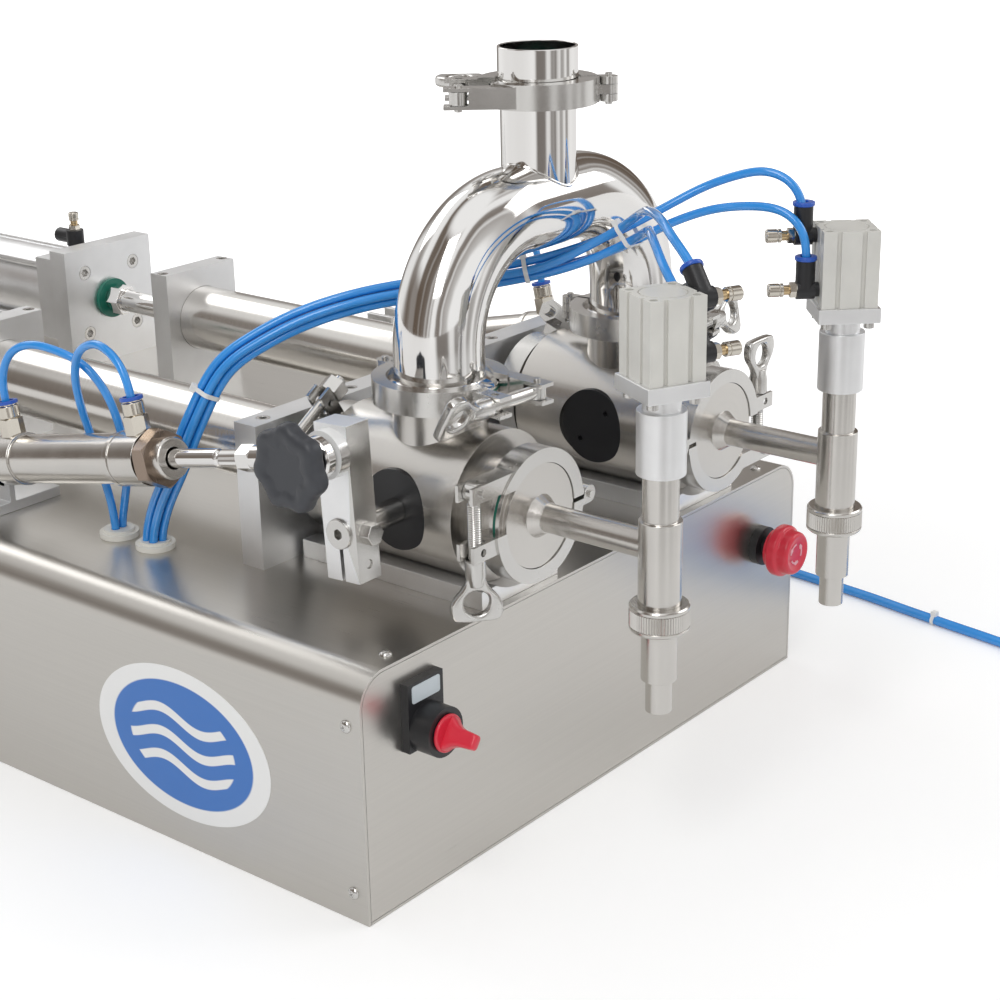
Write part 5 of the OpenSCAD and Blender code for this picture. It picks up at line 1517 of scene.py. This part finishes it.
def make_selector():
    """A round disc with a soft-edged grip, broad at its foot and narrow at its end."""
    d = GRIP
    centre = Vector(JOINTS["selector_turn"]["pos_m"])
    centre.y = FRONT_Y
    long, wide = around(d.turn, Z, X), around(d.turn, X, -Z)
    bm = bmesh.new()
    rod(bm, d.shaft, -0.010, d.disc_low + 0.001, centre, -Y)
    rod(bm, d.disc, d.disc_low, d.disc_high, centre, -Y, ease=0.0012, count=80)
    rings = []
    for out, reach, half in d.sections:
        ring = []
        for a in turns(48):
            u, v = (math.copysign(abs(c) ** 0.5, c) for c in (math.cos(a), math.sin(a)))
            ring.append(bm.verts.new(centre - Y * out + long * (reach * u) + wide * (half * v)))
        rings.append(ring)
    rings.append([bm.verts.new(centre - Y * d.sections[-1][0])])
    skinned(bm, rings)
    faced(bm)
    stand_in(bm, "selector_knob", "dressed", [MATERIALS.red], 50.0)


def make_controls():
    m, d = MATERIALS, PLATE
    skin("switch_housings", m.black, 0.0010, 3)
    make_selector()
    skin("stop_stem", m.black, 0.0005)
    make_stop_button()
    turn = Vector(JOINTS["selector_turn"]["pos_m"])
    middle = Vector((turn.x, FRONT_Y - d.out, turn.z + d.over))
    x, z, quarter = d.wide - d.ease, d.tall - d.ease, math.pi / 2
    outline = [
        (u + d.ease * math.cos(quarter * (q + t / 4)), v + d.ease * math.sin(quarter * (q + t / 4)))
        for u, v, q in ((x, z, 0), (-x, z, 1), (-x, -z, 2), (x, -z, 3)) for t in range(5)]
    bm = bmesh.new()
    bar(bm, outline, middle, -Y, X, -0.0004, 0.0005)
    faced(bm)
    built(bm, "selector_plate", [m.pale], "frame")


class FillerOperator:
    """What every operator here shares."""

    bl_options = {"REGISTER", "UNDO"}
    make = None

    def execute(self, context):
        type(self).make()
        return {"FINISHED"}


class FILLER_OT_materials(FillerOperator, bpy.types.Operator):
    """Make the finishes"""

    bl_idname = "filler.materials"
    bl_label = "Finishes"
    make = staticmethod(make_materials)


class FILLER_OT_camera(FillerOperator, bpy.types.Operator):
    """Place the camera"""

    bl_idname = "filler.camera"
    bl_label = "Camera"
    make = staticmethod(make_camera)


class FILLER_OT_hoses(FillerOperator, bpy.types.Operator):
    """Lay the control hoses"""

    bl_idname = "filler.hoses"
    bl_label = "Control hoses"
    make = staticmethod(make_hoses)


class FILLER_OT_supply(FillerOperator, bpy.types.Operator):
    """Lay the supply hose and its coil"""

    bl_idname = "filler.supply"
    bl_label = "Supply hose"
    make = staticmethod(make_supply)


class FILLER_OT_ties(FillerOperator, bpy.types.Operator):
    """Draw the ties round the hoses"""

    bl_idname = "filler.ties"
    bl_label = "Hose ties"
    make = staticmethod(make_ties)


class FILLER_OT_base(FillerOperator, bpy.types.Operator):
    """Dress the base, its panels, screws and inlets"""

    bl_idname = "filler.base"
    bl_label = "Base"
    make = staticmethod(make_base)


class FILLER_OT_valves(FillerOperator, bpy.types.Operator):
    """Dress the valves and their clamps"""

    bl_idname = "filler.valves"
    bl_label = "Valves and clamps"
    make = staticmethod(make_valves)


class FILLER_OT_pipe(FillerOperator, bpy.types.Operator):
    """Dress the inlet pipe"""

    bl_idname = "filler.pipe"
    bl_label = "Inlet pipe"
    make = staticmethod(make_pipe)


class FILLER_OT_pumps(FillerOperator, bpy.types.Operator):
    """Dress the pumps and drive cylinders"""

    bl_idname = "filler.pumps"
    bl_label = "Pumps"
    make = staticmethod(make_pumps)


class FILLER_OT_levers(FillerOperator, bpy.types.Operator):
    """Dress the levers and swing cylinders"""

    bl_idname = "filler.levers"
    bl_label = "Levers"
    make = staticmethod(make_levers)


class FILLER_OT_nozzles(FillerOperator, bpy.types.Operator):
    """Dress the nozzles, their cylinders and fittings"""

    bl_idname = "filler.nozzles"
    bl_label = "Nozzles"
    make = staticmethod(make_nozzles)


class FILLER_OT_controls(FillerOperator, bpy.types.Operator):
    """Dress the selector and the stop button"""

    bl_idname = "filler.controls"
    bl_label = "Controls"
    make = staticmethod(make_controls)


class FILLER_OT_stage(FillerOperator, bpy.types.Operator):
    """Make the floor and the light"""

    bl_idname = "filler.stage"
    bl_label = "Stage"
    make = staticmethod(make_stage)


STEPS = (
    FILLER_OT_materials, FILLER_OT_camera, FILLER_OT_hoses, FILLER_OT_supply, FILLER_OT_ties,
    FILLER_OT_base, FILLER_OT_valves, FILLER_OT_pipe, FILLER_OT_pumps, FILLER_OT_levers,
    FILLER_OT_nozzles, FILLER_OT_controls, FILLER_OT_stage)


class FILLER_PT_panel(bpy.types.Panel):
    """Lists the steps in order"""

    bl_idname = "FILLER_PT_panel"
    bl_label = "Filling machine"
    bl_space_type = "VIEW_3D"
    bl_region_type = "UI"
    bl_category = "Filler"

    def draw(self, context):
        for step in STEPS:
            self.layout.operator(step.bl_idname)
        for group in (context.scene.filler_stage, context.scene.filler_finish, context.scene.filler_detail):
            box = self.layout.box()
            for key in group.__annotations__:
                box.prop(group, key)


SETTINGS = {"filler_stage": StageSettings, "filler_finish": FinishSettings, "filler_detail": DetailSettings}
CLASSES = (*SETTINGS.values(), *STEPS, FILLER_PT_panel)


def register():
    for cls in CLASSES:
        bpy.utils.register_class(cls)
    for key, group in SETTINGS.items():
        setattr(bpy.types.Scene, key, PointerProperty(type=group))


def unregister():
    for key in SETTINGS:
        delattr(bpy.types.Scene, key)
    for cls in reversed(CLASSES):
        bpy.utils.unregister_class(cls)


def main():
    register()
    for step in STEPS:
        group, name = step.bl_idname.split(".")
        getattr(getattr(bpy.ops, group), name)()


if __name__ == "__main__":
    main()
